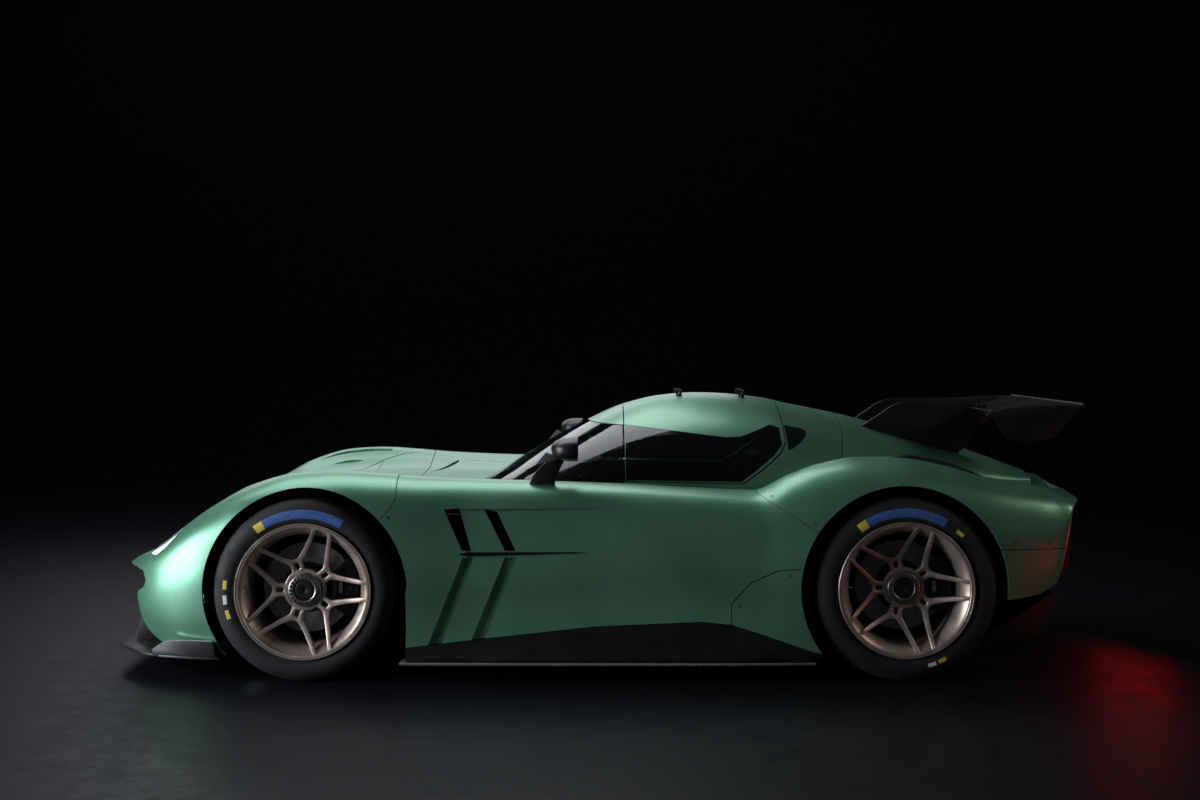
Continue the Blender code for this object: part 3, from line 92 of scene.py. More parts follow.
def newMaterial(name, colour, roughness, **sockets):
    material = bpy.data.materials.new(name)
    material.use_nodes = True
    shader = material.node_tree.nodes["Principled BSDF"]
    shader.inputs["Base Color"].default_value = linear(colour)
    shader.inputs["Roughness"].default_value = roughness
    for key, value in sockets.items():
        shader.inputs[key.replace("_", " ")].default_value = value
    node = partial(addNode, material.node_tree)
    return material, shader, node, node("TexCoord", "Object")


def finishOf(shader, dull, rough, tone=None, stops=(), relief=None, depth=0.0, strength=0.4):
    # one pattern sets the roughness, one the colour, and one the relief, whose depth is in millimetres
    tree = shader.id_data
    links = {"Roughness": addNode(tree, "MapRange", "Result", dull, From_Min=0.3, From_Max=0.7,
                                  To_Min=rough[0], To_Max=rough[1])}
    if tone is not None:
        links["Base Color"] = addNode(tree, "ValToRGB", "Color", tone, stops=stops)
    if relief is not None:
        links["Normal"] = addNode(tree, "Bump", "Normal", Height=relief, Distance=depth / 1000,
                                  Strength=strength)
    for socket, source in links.items():
        tree.links.new(source, shader.inputs[socket])


def blended(node, *patterns):
    # patterns cut to a range, each with its share, added up
    parts = [node("MapRange", "Result", value, From_Min=low, From_Max=high, To_Min=0.0, To_Max=share)
             for value, low, high, share in patterns]
    return node("Math", 0, *parts, operation="ADD")


def satinGreenPaint():
    # metallic green base coat under a satin clear coat: fine flake, a faint orange peel
    material, shader, node, where = newMaterial("satinMetallicPaintSprayedGreen", paint["colour"], 0.42,
                                                Metallic=paint["metallic"], Coat_Weight=0.22,
                                                Coat_Roughness=0.2, Specular_IOR_Level=0.5)
    flake = node("TexNoise", "Fac", where, Scale=1000 / 1.2, Detail=2.0, Roughness=0.55)
    cloud = node("TexNoise", "Fac", where, Scale=1000 / 380, Detail=2.0, Roughness=0.55)
    peel = node("TexNoise", "Fac", where, Scale=1000 / 2.5, Detail=1.0, Roughness=0.55)
    both = blended(node, (flake, 0.35, 0.65, 0.5), (cloud, 0.3, 0.7, 0.5))
    stops = ((0.0, paint["dark"]), (0.5, paint["colour"]), (1.0, paint["light"]))
    finishOf(shader, cloud, (0.38, 0.46), both, stops, peel, 0.02, 0.25)
    return material


def carbonLacquered():
    # 2x2 twill carbon, 2.5 mm tows, under satin lacquer
    material, shader, node, where = newMaterial("carbonTwillSatinLacquered", "#0c0d0e", 0.46, Coat_Weight=0.1,
                                                Coat_Roughness=0.35, Specular_IOR_Level=0.35)
    turned = node("Mapping", "Vector", where, Scale=(-1.0, 1.0, 1.0))
    tows = [node("TexWave", "Fac", way, Scale=1000 / 5 / 6.2832, bands_direction="DIAGONAL")
            for way in (where, turned)]
    weave = node("Math", 0, *tows, operation="MULTIPLY")
    grime = node("TexNoise", "Fac", where, Scale=1000 / 160, Detail=4.0, Roughness=0.55)
    finishOf(shader, grime, (0.34, 0.5), weave, ((0.0, "#08090a"), (1.0, "#141517")), weave, 0.12, 0.35)
    return material


def tintedGlass(name, alpha):
    # laminated glazing, bent, dark tint, polished
    material, shader, node, where = newMaterial(name, "#0b0e0e", 0.03, Alpha=alpha, Specular_IOR_Level=0.45,
                                                Coat_Weight=0.06, Coat_Roughness=0.02)
    film = node("TexNoise", "Fac", where, Scale=1000 / 240, Detail=3.0, Roughness=0.55)
    finishOf(shader, film, (0.02, 0.06))
    if alpha < 1.0:
        material.surface_render_method = "BLENDED"
    return material


def bronzeWheel():
    # forged aluminium, blasted and painted satin bronze
    material, shader, node, where = newMaterial("forgedAlloyPaintedBronze", "#b3a093", 0.38, Metallic=0.7,
                                                Coat_Weight=0.15, Coat_Roughness=0.25)
    grain = node("TexNoise", "Fac", where, Scale=1000 / 0.9, Detail=2.0, Roughness=0.55)
    dust = node("TexNoise", "Fac", where, Scale=1000 / 60, Detail=4.0, Roughness=0.55)
    both = blended(node, (grain, 0.3, 0.7, 0.4), (dust, 0.3, 0.7, 0.6))
    stops = ((0.0, "#9c897c"), (0.5, "#b3a093"), (1.0, "#c8b6a9"))
    finishOf(shader, dust, (0.32, 0.46), both, stops, grain, 0.03, 0.3)
    return material


def tyreRubber():
    # moulded slick rubber: dusty, with a fine grain from the mould
    material, shader, node, where = newMaterial("rubberMouldedSlick", "#17181a", 0.72, Specular_IOR_Level=0.35)
    dust = node("TexNoise", "Fac", where, Scale=1000 / 45, Detail=5.0, Roughness=0.65)
    fine = node("TexNoise", "Fac", where, Scale=1000 / 1.6, Detail=3.0, Roughness=0.55)
    both = blended(node, (dust, 0.3, 0.7, 0.7), (fine, 0.3, 0.7, 0.3))
    stops = ((0.0, "#121314"), (0.6, "#1b1c1e"), (1.0, "#26272a"))
    finishOf(shader, dust, (0.6, 0.84), both, stops, fine, 0.08, 0.5)
    return material


def carbonDisc():
    # chopped-fibre carbon-ceramic, ground flat
    material, shader, node, where = newMaterial("carbonCeramicGround", "#4b4d50", 0.45, Metallic=0.35)
    long = node("Mapping", "Vector", where, Scale=(1.0, 1.0, 3.0))
    fibre = node("TexNoise", "Fac", long, Scale=1000 / 7, Detail=5.0, Roughness=0.7)
    stops = ((0.3, "#55585b"), (0.5, "#7d8084"), (0.72, "#a3a6aa"))
    finishOf(shader, fibre, (0.36, 0.6), fibre, stops, fibre, 0.05)
    return material


def plainFinish(name, colours, rough, metallic, millimetres, depth):
    # one grain of that many millimetres for the colour, the roughness and the relief
    material, shader, node, where = newMaterial(name, colours[1], rough[0], Metallic=metallic)
    grain = node("TexNoise", "Fac", where, Scale=1000 / millimetres, Detail=4.0, Roughness=0.55)
    finishOf(shader, grain, rough, grain, tuple(zip((0.3, 0.5, 0.7), colours)), grain, depth)
    return material


def wovenTrim():
    # knitted flame-proof seat fabric, 1.5 mm ribs
    material, shader, node, where = newMaterial("fabricKnittedBlack", "#1a1b1d", 0.9, Sheen_Weight=0.25,
                                                Sheen_Roughness=0.4)
    rows = [node("TexWave", "Fac", where, Scale=1000 / 1.5 / 6.2832, Distortion=1.0, bands_direction=way)
            for way in ("X", "Z")]
    ribs = node("Math", 0, *rows, operation="MULTIPLY")
    wear = node("TexNoise", "Fac", where, Scale=1000 / 90, Detail=3.0, Roughness=0.55)
    both = node("Math", 0, ribs, wear, operation="MULTIPLY")
    finishOf(shader, wear, (0.82, 0.96), both, ((0.0, "#101112"), (0.4, "#1b1c1e"), (1.0, "#303235")), ribs,
             0.3, 0.6)
    return material


def mouldedLens(name, colour, alpha):
    # injection-moulded polycarbonate lens with a light haze
    material, shader, node, where = newMaterial(name, colour, 0.05, Alpha=alpha, Coat_Weight=0.6)
    haze = node("TexNoise", "Fac", where, Scale=1000 / 12, Detail=3.0, Roughness=0.55)
    finishOf(shader, haze, (0.05, 0.11))
    material.surface_render_method = "BLENDED"
    return material


def lampLight():
    # lit light guide of the lamp, frosted polycarbonate: an even, soft white
    material, shader, node, where = newMaterial("polycarbonateFrostedLit", "#dfe8f0", 0.4,
                                                Emission_Color=linear("#e4f0ff"), Emission_Strength=5.0)
    frost = node("TexNoise", "Fac", where, Scale=1000 / 3, Detail=2.0, Roughness=0.55)
    finishOf(shader, frost, (0.35, 0.5))
    return material


def printedBand(name, colour, dark):
    # pigmented rubber paint rolled on the side wall, a little uneven
    material, shader, node, where = newMaterial(name, colour, 0.6)
    uneven = node("TexNoise", "Fac", where, Scale=1000 / 14, Detail=4.0, Roughness=0.55)
    fine = node("TexNoise", "Fac", where, Scale=1000 / 1.6, Detail=2.0, Roughness=0.55)
    finishOf(shader, uneven, (0.5, 0.72), uneven, ((0.3, dark), (0.6, colour)), fine, 0.05)
    return material


paint = {"colour": "#5a8c6f", "dark": "#4e7e63", "light": "#66997b", "metallic": 0.6}
# name, three tones, roughness from and to, metallic, grain and depth in millimetres
plainLooks = {
    # machined and zinc-plated steel; sand-cast alloy, unpainted; anodised caliper, near black
    "steel": ("steelMachinedPlated", ("#85827e", "#9b9894", "#b0adaa"), (0.26, 0.38), 0.95, 1.5, 0.02),
    "cast": ("alloySandCast", ("#57595b", "#696b6d", "#7d7f81"), (0.48, 0.66), 0.8, 3.0, 0.15),
    "caliper": ("alloyAnodisedDark", ("#1c1d1f", "#26282a", "#323436"), (0.34, 0.46), 0.6, 2.0, 0.04),
    # titanium tail pipes, heat-tinted by use; turn-lock studs of blackened steel
    "titanium": ("titaniumHeatTinted", ("#6d6258", "#8a7d70", "#8a8fa0"), (0.28, 0.42), 0.95, 40.0, 0.05),
    "stud": ("steelStudsBlackened", ("#1d1f20", "#2a2c2d", "#3a3c3d"), (0.36, 0.5), 0.8, 1.5, 0.02),
    # injection-moulded black plastic with a spark-eroded grain; soft black seal and inner liner
    "plastic": ("plasticMouldedGrained", ("#101112", "#151617", "#1c1d1f"), (0.55, 0.7), 0.0, 1.2, 0.1),
    "liner": ("linerMouldedMatt", ("#08080a", "#0b0b0c", "#101011"), (0.8, 0.92), 0.0, 4.0, 0.2),
    # bare edge of polished aluminium sheet; woven belt webbing; powder-coated steel tube of the roll cage
    "edge": ("aluminiumSheetPolished", ("#c6c8ca", "#d6d8da", "#e4e6e8"), (0.18, 0.3), 0.9, 2.0, 0.01),
    "webbing": ("webbingWovenRed", ("#6b1414", "#861b1a", "#9a2522"), (0.72, 0.88), 0.0, 1.8, 0.15),
    "cageTube": ("steelTubePowderCoated", ("#2c2e30", "#383a3c", "#454749"), (0.48, 0.62), 0.0, 1.4, 0.04),
}
looks = {
    "paint": satinGreenPaint(), "carbon": carbonLacquered(), "bronze": bronzeWheel(), "rubber": tyreRubber(),
    "disc": carbonDisc(), "fabric": wovenTrim(), "lampLight": lampLight(),
    "glass": tintedGlass("laminatedGlassBentTinted", 0.66),
    "darkGlass": tintedGlass("laminatedGlassBackPaintedBlack", 1.0),    # the same, painted black behind
    "lens": mouldedLens("polycarbonateMouldedClear", "#c4ccd2", 0.35),
    "redLens": mouldedLens("polycarbonateMouldedRed", "#b3120f", 0.9),
    "blueBand": printedBand("rubberPaintRolledBlue", "#3a5f9e", "#2b4a80"),
    "whiteMark": printedBand("rubberPaintRolledWhite", "#dcdedd", "#b9bbba"),
    "yellowMark": printedBand("rubberPaintRolledYellow", "#d9c24a", "#b8a23a"),
    **{look: plainFinish(*recipe) for look, recipe in plainLooks.items()},
}
print("stage: materials made")
# Sections of the body and greenhouse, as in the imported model, sampled more finely here.
bodyRows = (
    (-2.105, 0.405, 0.280, 0.300, 0.300, 0.200, 0.432, 0.436, 0.437),
    (-2.070, 0.330, 0.500, 0.530, 0.540, 0.420, 0.450, 0.455, 0.458),
    (-2.020, 0.250, 0.640, 0.670, 0.680, 0.550, 0.475, 0.480, 0.482),
    (-1.960, 0.190, 0.730, 0.770, 0.775, 0.640, 0.510, 0.512, 0.512),
    (-1.880, 0.145, 0.800, 0.840, 0.850, 0.700, 0.563, 0.555, 0.548),
    (-1.780, 0.125, 0.860, 0.900, 0.905, 0.735, 0.640, 0.610, 0.598),
    (-1.660, 0.115, 0.900, 0.940, 0.950, 0.760, 0.722, 0.665, 0.650),
    (-1.500, 0.110, 0.940, 0.975, 0.980, 0.770, 0.808, 0.725, 0.705),
    (-1.317, 0.105, 0.960, 0.985, 0.990, 0.775, 0.857, 0.768, 0.750),
    (-1.150, 0.105, 0.965, 0.985, 0.992, 0.775, 0.866, 0.785, 0.770),
    (-0.950, 0.105, 0.970, 0.985, 0.985, 0.770, 0.855, 0.790, 0.780),
    (-0.800, 0.105, 0.985, 0.980, 0.972, 0.770, 0.842, 0.785, 0.775),
    (-0.526, 0.105, 0.990, 0.955, 0.945, 0.770, 0.829, 0.775, 0.765),
    (0.000, 0.105, 0.995, 0.945, 0.935, 0.770, 0.812, 0.760, 0.750),
    (0.450, 0.105, 0.995, 0.950, 0.940, 0.770, 0.787, 0.750, 0.740),
    (0.654, 0.105, 0.990, 0.960, 0.952, 0.770, 0.778, 0.750, 0.745),
    (0.782, 0.105, 0.985, 0.972, 0.968, 0.770, 0.842, 0.760, 0.750),
    (0.917, 0.105, 0.980, 0.980, 0.985, 0.770, 0.894, 0.790, 0.770),
    (1.090, 0.105, 0.980, 0.985, 0.998, 0.770, 0.926, 0.800, 0.780),
    (1.259, 0.105, 0.980, 0.985, 1.000, 0.770, 0.927, 0.800, 0.790),
    (1.435, 0.120, 0.970, 0.980, 0.990, 0.770, 0.899, 0.790, 0.795),
    (1.643, 0.330, 0.950, 0.965, 0.970, 0.765, 0.842, 0.765, 0.800),
    (1.820, 0.362, 0.915, 0.935, 0.942, 0.755, 0.810, 0.757, 0.800),
    (1.910, 0.410, 0.895, 0.915, 0.920, 0.750, 0.790, 0.755, 0.800),
    (1.950, 0.550, 0.885, 0.900, 0.905, 0.745, 0.777, 0.752, 0.800),
    (2.000, 0.680, 0.865, 0.880, 0.885, 0.730, 0.755, 0.750, 0.798),
    (2.060, 0.735, 0.800, 0.815, 0.820, 0.680, 0.760, 0.768, 0.792),
)
cabinRows = (
    (-0.560, 0.060, 0.765, 2.00), (-0.500, 0.330, 0.797, 2.10), (-0.440, 0.470, 0.835, 2.10),
    (-0.340, 0.600, 0.900, 2.05), (-0.210, 0.655, 0.978, 2.00), (-0.060, 0.665, 1.056, 1.95),
    (0.108, 0.665, 1.128, 1.85), (0.284, 0.665, 1.168, 1.80), (0.437, 0.660, 1.179, 1.80),
    (0.559, 0.655, 1.176, 1.80), (0.753, 0.640, 1.155, 1.80), (0.863, 0.620, 1.131, 1.80),
    (1.129, 0.530, 1.076, 1.75), (1.245, 0.480, 1.046, 1.75), (1.450, 0.390, 0.988, 1.80),
    (1.700, 0.300, 0.919, 1.90), (1.980, 0.240, 0.818, 2.00),
)
shell = {"baseLevel": 0.64, "glassLevel": 0.78, "wall": 0.022, "cabinWall": 0.014, "glass": 0.005,
         "gap": 0.0034, "doorGap": 0.005, "noseClosed": -1.61, "tailClosed": 1.66, "tailSolid": 0.105,
         "archDepth": 0.53, "archClearance": 0.048, "frontAxle": -1.248, "rearAxle": 1.263,
         "frontTyre": 0.381, "rearTyre": 0.386, "bonnetHalf": 0.56, "tailSeam": 0.555, "spineHalf": 0.1}
frontSeam = ((-0.872, 1.3), (-0.872, 0.846), (-0.865, 0.769), (-0.888, 0.722), (-0.94, 0.67),
             (-1.05, 0.56), (-1.05, -0.1))
rearSeam = ((0.657, 1.3), (0.657, 0.777), (0.909, 0.62), (1.0, 0.56), (1.0, -0.1))
quarterEdge = ((0.536, -0.1), (0.536, 0.328), (0.617, 0.417), (0.728, 0.467), (0.833, 0.477), (1.02, 0.48))
skirtEdge = ((-0.86, 0.145), (-0.817, 0.151), (-0.467, 0.19), (-0.034, 0.234), (0.411, 0.253),
             (0.538, 0.241), (0.666, 0.202), (0.85, 0.139), (0.96, 0.11))
clamSeam = ((1.112, 1.3), (1.092, 1.0), (1.066, 0.903), (1.05, 0.84), (1.05, 0.5))
doorOutline = ((0.098, 0.816), (0.61, 0.803), (0.7, 0.862), (0.785, 0.932), (0.812, 0.975),
               (0.804, 1.3), (0.098, 1.3))
windowOutline = ((0.1, 0.818), (0.604, 0.808), (0.667, 0.852), (0.755, 0.918), (0.797, 0.962),
                 (0.794, 1.034), (0.752, 1.046), (0.616, 0.999), (0.549, 0.996), (0.435, 1.009),
                 (0.264, 1.031), (0.1, 1.048))
quarterGlass = ((0.823, 0.94), (0.845, 0.946), (0.89, 0.974), (0.914, 0.996), (0.92, 1.008), (0.914, 1.02),
                (0.898, 1.029), (0.819, 1.044))
tailSweep = {"from": 1.94, "over": 0.12, "half": 0.82, "curve": 2.4, "reach": 0.046}
headerFront = (-0.07, 1.05)
headerRear = (0.093, 1.044)
lampPlan = ((-1.955, 0.6), (-1.8, 0.74), (-1.808, 0.79), (-1.86, 0.806), (-1.912, 0.782), (-1.975, 0.66))

work = bpy.data.collections.new("work")
shown = bpy.data.collections.new("pieces")
bpy.context.scene.collection.children.link(work)
bpy.context.scene.collection.children.link(shown)


def linkMesh(name, mesh, material=None, group=None):
    item = bpy.data.objects.new(name, mesh)
    (group or work).objects.link(item)
    if material:
        mesh.materials.clear()
        mesh.materials.append(material)
    return item


def evaluated(item):
    bpy.context.view_layer.update()
    graph = bpy.context.evaluated_depsgraph_get()
    return bpy.data.meshes.new_from_object(item.evaluated_get(graph))


def bake(item):
    mesh = evaluated(item)
    item.modifiers.clear()
    item.data = mesh
    return item


def drop(item):
    mesh = item.data
    bpy.data.objects.remove(item)
    if mesh.users == 0:
        bpy.data.meshes.remove(mesh)


def duplicate(item):
    return linkMesh("work", item.data.copy())


def join(item, tool, how):
    change = item.modifiers.new("cut", "BOOLEAN")
    change.operation = how
    change.solver = "MANIFOLD"
    change.object = tool
    bake(item)
    drop(tool)
    return item


def made(shape, name="work"):
    # the shape as an object of its own
    mesh = bpy.data.meshes.new(name)
    shape.to_mesh(mesh)
    shape.free()
    return linkMesh(name, mesh)


def shapeOf(item):
    shape = bmesh.new()
    shape.from_mesh(item.data)
    return shape


def welded(shape, distance=0.00002):
    bmesh.ops.remove_doubles(shape, verts=shape.verts, dist=distance)
    bmesh.ops.dissolve_degenerate(shape, edges=shape.edges, dist=0.00001)
    bmesh.ops.recalc_face_normals(shape, faces=shape.faces)
    return shape


def flip(shape):
    # to the other side of the car's centre plane
    bmesh.ops.scale(shape, vec=(1, -1, 1), verts=shape.verts)
    bmesh.ops.reverse_faces(shape, faces=shape.faces)


def skinRings(shape, rings, last=None):
    # faces from each ring to the next
    for first, second in zip(rings, rings[1:]):
        for i in range(last or len(first)):
            j = (i + 1) % len(first)
            shape.faces.new((first[i], first[j], second[j], second[i]))


def cut(item, tool):
    return join(item, tool, "DIFFERENCE")


def clip(item, tool):
    return join(item, tool, "INTERSECT")


def moved(item, shift, turn=None):
    item.data.transform(Matrix.Translation(shift) @ turn if turn else Matrix.Translation(shift))
    return item


axisTurns = {"X": Matrix(((0, 0, 1), (1, 0, 0), (0, 1, 0))).to_4x4(),
             "Y": Matrix(((1, 0, 0), (0, 0, -1), (0, 1, 0))).to_4x4(), "Z": Matrix.Identity(4)}


def levelOn(line, x):
    # straight between the line's points
    for (x0, z0), (x1, z1) in zip(line, line[1:]):
        if x0 <= x <= x1:
            return z0 + (z1 - z0) * (x - x0) / (x1 - x0)
    return line[-1][1]


def leaning(way):
    # turns the Y axis of a turned part to point that way
    return Vector((0, 1, 0)).rotation_difference(way).to_matrix().to_4x4()


def arcAt(radius, angles):
    return [(radius * cos(a), radius * sin(a)) for a in angles]


def plate(outline, low, high, axis="Y", bevel=0.0, holes=()):
    # flat outline and its holes between two places on an axis: Y takes (x, z), Z takes (x, y), X takes (y, z)
    curve = bpy.data.curves.new("plate", "CURVE")
    curve.dimensions = "2D"
    curve.fill_mode = "BOTH"
    curve.extrude = (high - low) / 2 - bevel
    curve.bevel_depth = bevel
    curve.bevel_resolution = 1
    curve.offset = -bevel
    for loop in (outline, *holes):
        line = curve.splines.new("POLY")
        line.points.add(len(loop) - 1)
        for point, (u, v) in zip(line.points, loop):
            point.co = (u, v, 0, 1)
        line.use_cyclic_u = True
    drawn = bpy.data.objects.new("drawn", curve)
    work.objects.link(drawn)
    item = linkMesh("plate", evaluated(drawn))
    bpy.data.objects.remove(drawn)
    middle = (low + high) / 2
    moved(item, {"X": (middle, 0, 0), "Y": (0, middle, 0), "Z": (0, 0, middle)}[axis], axisTurns[axis])
    shape = welded(shapeOf(item), 0.00001)
    shape.to_mesh(item.data)
    shape.free()
    return item


def sheet(outline, holes, low, high, bevel):
    return plate(outline, low, high, "Y", bevel, holes)


def rectangle(u0, v0, u1, v1):
    return [(u0, v0), (u1, v0), (u1, v1), (u0, v1)]


def block(low, high, bevel=0.0, segments=2):
    shape = bmesh.new()
    bmesh.ops.create_cube(shape, size=1.0)
    bmesh.ops.scale(shape, vec=[b - a for a, b in zip(low, high)], verts=shape.verts)
    bmesh.ops.translate(shape, vec=[(a + b) / 2 for a, b in zip(low, high)], verts=shape.verts)
    if bevel:
        bmesh.ops.bevel(shape, geom=shape.edges, offset=bevel, segments=segments, affect="EDGES")
    return made(shape)


def lathe(profile, steps, start=0.0, end=360.0):
    # closed profile of (radius, along) turned about the Y axis, along pointing to +Y
    shape = bmesh.new()
    full = abs(end - start) >= 360
    rings = []
    for k in range(steps if full else steps + 1):
        angle = radians(start + (end - start) * k / steps)
        rings.append([shape.verts.new((radius * cos(angle), along, radius * sin(angle)))
                      for radius, along in profile])
    skinRings(shape, rings + rings[:1] if full else rings)
    if not full:
        shape.faces.new(rings[0])
        shape.faces.new(rings[-1])
    return made(welded(shape))


def drum(radius, low, high, steps=24):
    # solid cylinder about the Y axis
    return lathe([(0.0, low), (radius, low), (radius, high), (0.0, high)], steps)


def bar(start, end, radius, sides=12):
    start, end = Vector(start), Vector(end)
    run = end - start
    shape = bmesh.new()
    bmesh.ops.create_cone(shape, cap_ends=True, segments=sides, radius1=radius, radius2=radius,
                          depth=run.length)
    return moved(made(shape), (start + end) / 2, run.to_track_quat("Z", "Y").to_matrix().to_4x4())


def together(items):
    # several meshes as one object, left as separate shells
    shape = bmesh.new()
    for item in items:
        shape.from_mesh(item.data)
        drop(item)
    return made(shape)


def finishPiece(item, name, material, body, nodes=(), angle=32.0, smooth=True):
    # the piece gets its name, look, body and material slot, and stands for its CAD nodes
    mesh = item.data
    bpy.data.objects.remove(item)
    piece = linkMesh(name, mesh, looks[material] if isinstance(material, str) else material, shown)
    if smooth:
        mesh.polygons.foreach_set("use_smooth", [True] * len(mesh.polygons))
        mesh.set_sharp_from_angle(angle=radians(angle))
    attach(piece, body)
    if nodes:
        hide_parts(*nodes)
    return piece


def smoothValue(rows, column, x):
    xs = [row[0] for row in rows]
    ys = [row[column] for row in rows]
    if x <= xs[0]:
        return ys[0]
    if x >= xs[-1]:
        return ys[-1]
    i = max(k for k in range(len(xs) - 1) if xs[k] <= x)

    def rise(k):
        return (ys[k + 1] - ys[k]) / (xs[k + 1] - xs[k])

    def slope(k):
        if k == 0:
            return rise(0)
        if k == len(xs) - 1:
            return rise(k - 1)
        before, after = rise(k - 1), rise(k)
        if before * after <= 0:
            return 0.0
        left, right = xs[k] - xs[k - 1], xs[k + 1] - xs[k]
        return (left + right) * before * after / (right * before + left * after)

    step = xs[i + 1] - xs[i]
    t = (x - xs[i]) / step
    a, b = slope(i) * step, slope(i + 1) * step
    return ((2 * t ** 3 - 3 * t ** 2 + 1) * ys[i] + (t ** 3 - 2 * t ** 2 + t) * a
            + (3 * t ** 2 - 2 * t ** 3) * ys[i + 1] + (t ** 3 - t ** 2) * b)


def curveThrough(points, count):
    ends = [points[0]] + list(points) + [points[-1]]
    line = []
    for i in range(1, len(ends) - 2):
        before, start, end, after = ends[i - 1:i + 3]
        for step in range(count):
            t = step / count
            line.append(tuple(
                0.5 * (2 * start[k] + (end[k] - before[k]) * t
                       + (2 * before[k] - 5 * start[k] + 4 * end[k] - after[k]) * t ** 2
                       + (3 * start[k] - before[k] - 3 * end[k] + after[k]) * t ** 3)
                for k in range(len(start))))
    line.append(tuple(points[-1]))
    return line


def inward(line, inset):
    moved = []
    for i, (y, z) in enumerate(line):
        before = line[max(i - 1, 0)]
        after = line[min(i + 1, len(line) - 1)]
        dy, dz = after[0] - before[0], after[1] - before[1]
        size = hypot(dy, dz) or 1.0
        moved.append((y - inset * dz / size, z + inset * dy / size))
    moved[-1] = (0.0, line[-1][1] - inset)
    return [(max(y, 0.0), z) for y, z in moved]


def bodyHalf(x, count, inset=0.0):
    floor, sill, low, mid, crestY, crestZ, valley, middle = (smoothValue(bodyRows, c, x) for c in range(1, 9))
    height = crestZ - floor
    midZ = floor + 0.6 * height
    points = ((sill, floor), (low, floor + 0.27 * height), (mid, midZ),
              (crestY + 0.76 * (mid - crestY), crestZ - 0.27 * (crestZ - midZ)),
              (crestY, crestZ), (crestY - 0.26 * crestY, (crestZ + valley) / 2 + 0.004),
              (0.46 * crestY, valley), (0.0, middle))
    line = curveThrough(points, count)
    return inward(line, inset) if inset else line


def cabinHalf(x, count, inset=0.0):
    width, top, square = (smoothValue(cabinRows, c, x) for c in range(1, 4))
    level = min(shell["glassLevel"], top - 0.03)
    line = [(width, shell["baseLevel"])]
    for step in range(count + 1):
        angle = pi / 2 * step / count
        line.append((width * max(cos(angle), 0.0) ** (2 / square),
                     level + (top - level) * sin(angle) ** (2 / square)))
    return inward(line, inset) if inset else line


def whole(half, under):
    left = [(-y, z) for y, z in half]
    right = [(y, z) for y, z in reversed(half[:-1])]
    return left + right + ([(half[0][0], under), (-half[0][0], under)] if under is not None else [])


def loft(stations, loopAt):
    shape = bmesh.new()
    rings = [[shape.verts.new((x, y, z)) for y, z in loopAt(x)] for x in stations]
    skinRings(shape, rings)
    shape.faces.new(rings[0])
    shape.faces.new(rings[-1])
    return made(welded(shape))


def stations(rows, spacing, first=None, last=None):
    first = rows[0][0] if first is None else first
    last = rows[-1][0] if last is None else last
    marks = [first] + [row[0] for row in rows if first < row[0] < last] + [last]
    places = []
    for a, b in zip(marks, marks[1:]):
        parts = max(1, math.ceil((b - a) / spacing - 0.01))
        places += [a + (b - a) * k / parts for k in range(parts)]
    return places + [last]


def lowerOuter(grow=0.0, spacing=0.035, count=7):
    body = loft(stations(bodyRows, spacing), lambda x: whole(bodyHalf(x, count, -grow), None))
    # the tail's corners are swept forward of its middle, as the photo's silhouette shows
    for vert in body.data.vertices:
        along = min(max((vert.co.x - tailSweep["from"]) / tailSweep["over"], 0.0), 1.0)
        share = min(abs(vert.co.y) / tailSweep["half"], 1.0) ** tailSweep["curve"]
        vert.co.x -= tailSweep["reach"] * along * along * (3 - 2 * along) * share
    return body


def hollowFloor(x):
    if shell["noseClosed"] < x < shell["tailClosed"]:
        return -0.05
    towardsEnd = -1 if x < 0 else 1
    return smoothValue(bodyRows, 1, x + towardsEnd * 1.4 * shell["wall"]) + shell["wall"]


def lowerInner():
    marks = stations(bodyRows, 0.1, bodyRows[0][0] + 3 * shell["wall"], bodyRows[-1][0] - shell["tailSolid"])
    marks += [x + shift for x in (shell["noseClosed"], shell["tailClosed"]) for shift in (-0.002, 0.002)]
    marks.sort()

    def loop(x):
        under = hollowFloor(x)
        half = bodyHalf(x, 2, shell["wall"])
        if under > 0:
            half = [(y, max(z, under + 0.001)) for y, z in half]
        return whole(half, under)

    return loft(marks, loop)


def cabinOuter(grow=0.0, spacing=0.03, count=20):
    return loft(stations(cabinRows, spacing), lambda x: whole(cabinHalf(x, count, -grow), None))


def cabinInner(wall, spacing=0.06, count=14):
    places = stations(cabinRows, spacing, cabinRows[1][0] + 3 * shell["wall"],
                      cabinRows[-1][0] - 2 * shell["wall"])
    return loft(places, lambda x: whole(cabinHalf(x, count, wall), shell["baseLevel"] - 0.3))


def archOutline(axle, wheel, rearEdge=None, extra=0.0, steps=72):
    reach = wheel + shell["archClearance"] + extra
    points = []
    for step in range(steps + 1):
        angle = radians(-60 + 300 * step / steps)
        points.append((axle + reach * cos(angle), wheel + reach * sin(angle)))
    if rearEdge:
        kept = [p for p in points if not (p[0] > axle and p[1] < wheel)]
        points = [(rearEdge, -0.1), (rearEdge + 0.012, 0.6 * wheel), (rearEdge + 0.008, wheel)] + kept
    return points


def frontArch(extra=0.0):
    reach = shell["frontTyre"] + shell["archClearance"] + extra
    return archOutline(shell["frontAxle"] + 0.006, shell["frontTyre"], shell["frontAxle"] + reach - 0.008,
                       extra)


def rearArch(extra=0.0):
    return archOutline(shell["rearAxle"] - 0.006, shell["rearTyre"], None, extra)


def span(side, low, high):
    return tuple(sorted((side * low, side * high)))


def cutArches(item):
    for side in (-1, 1):
        for outline in (frontArch(), rearArch()):
            cut(item, plate(outline, *span(side, shell["archDepth"], 1.2)))
    return item


def shifted(points, amount):
    return [(x + amount, z) for x, z in points]


def aheadOf(seam, gap=shell["gap"]):
    return [(-3.0, seam[0][1]), *shifted(seam, -gap / 2), (-3.0, seam[-1][1])]


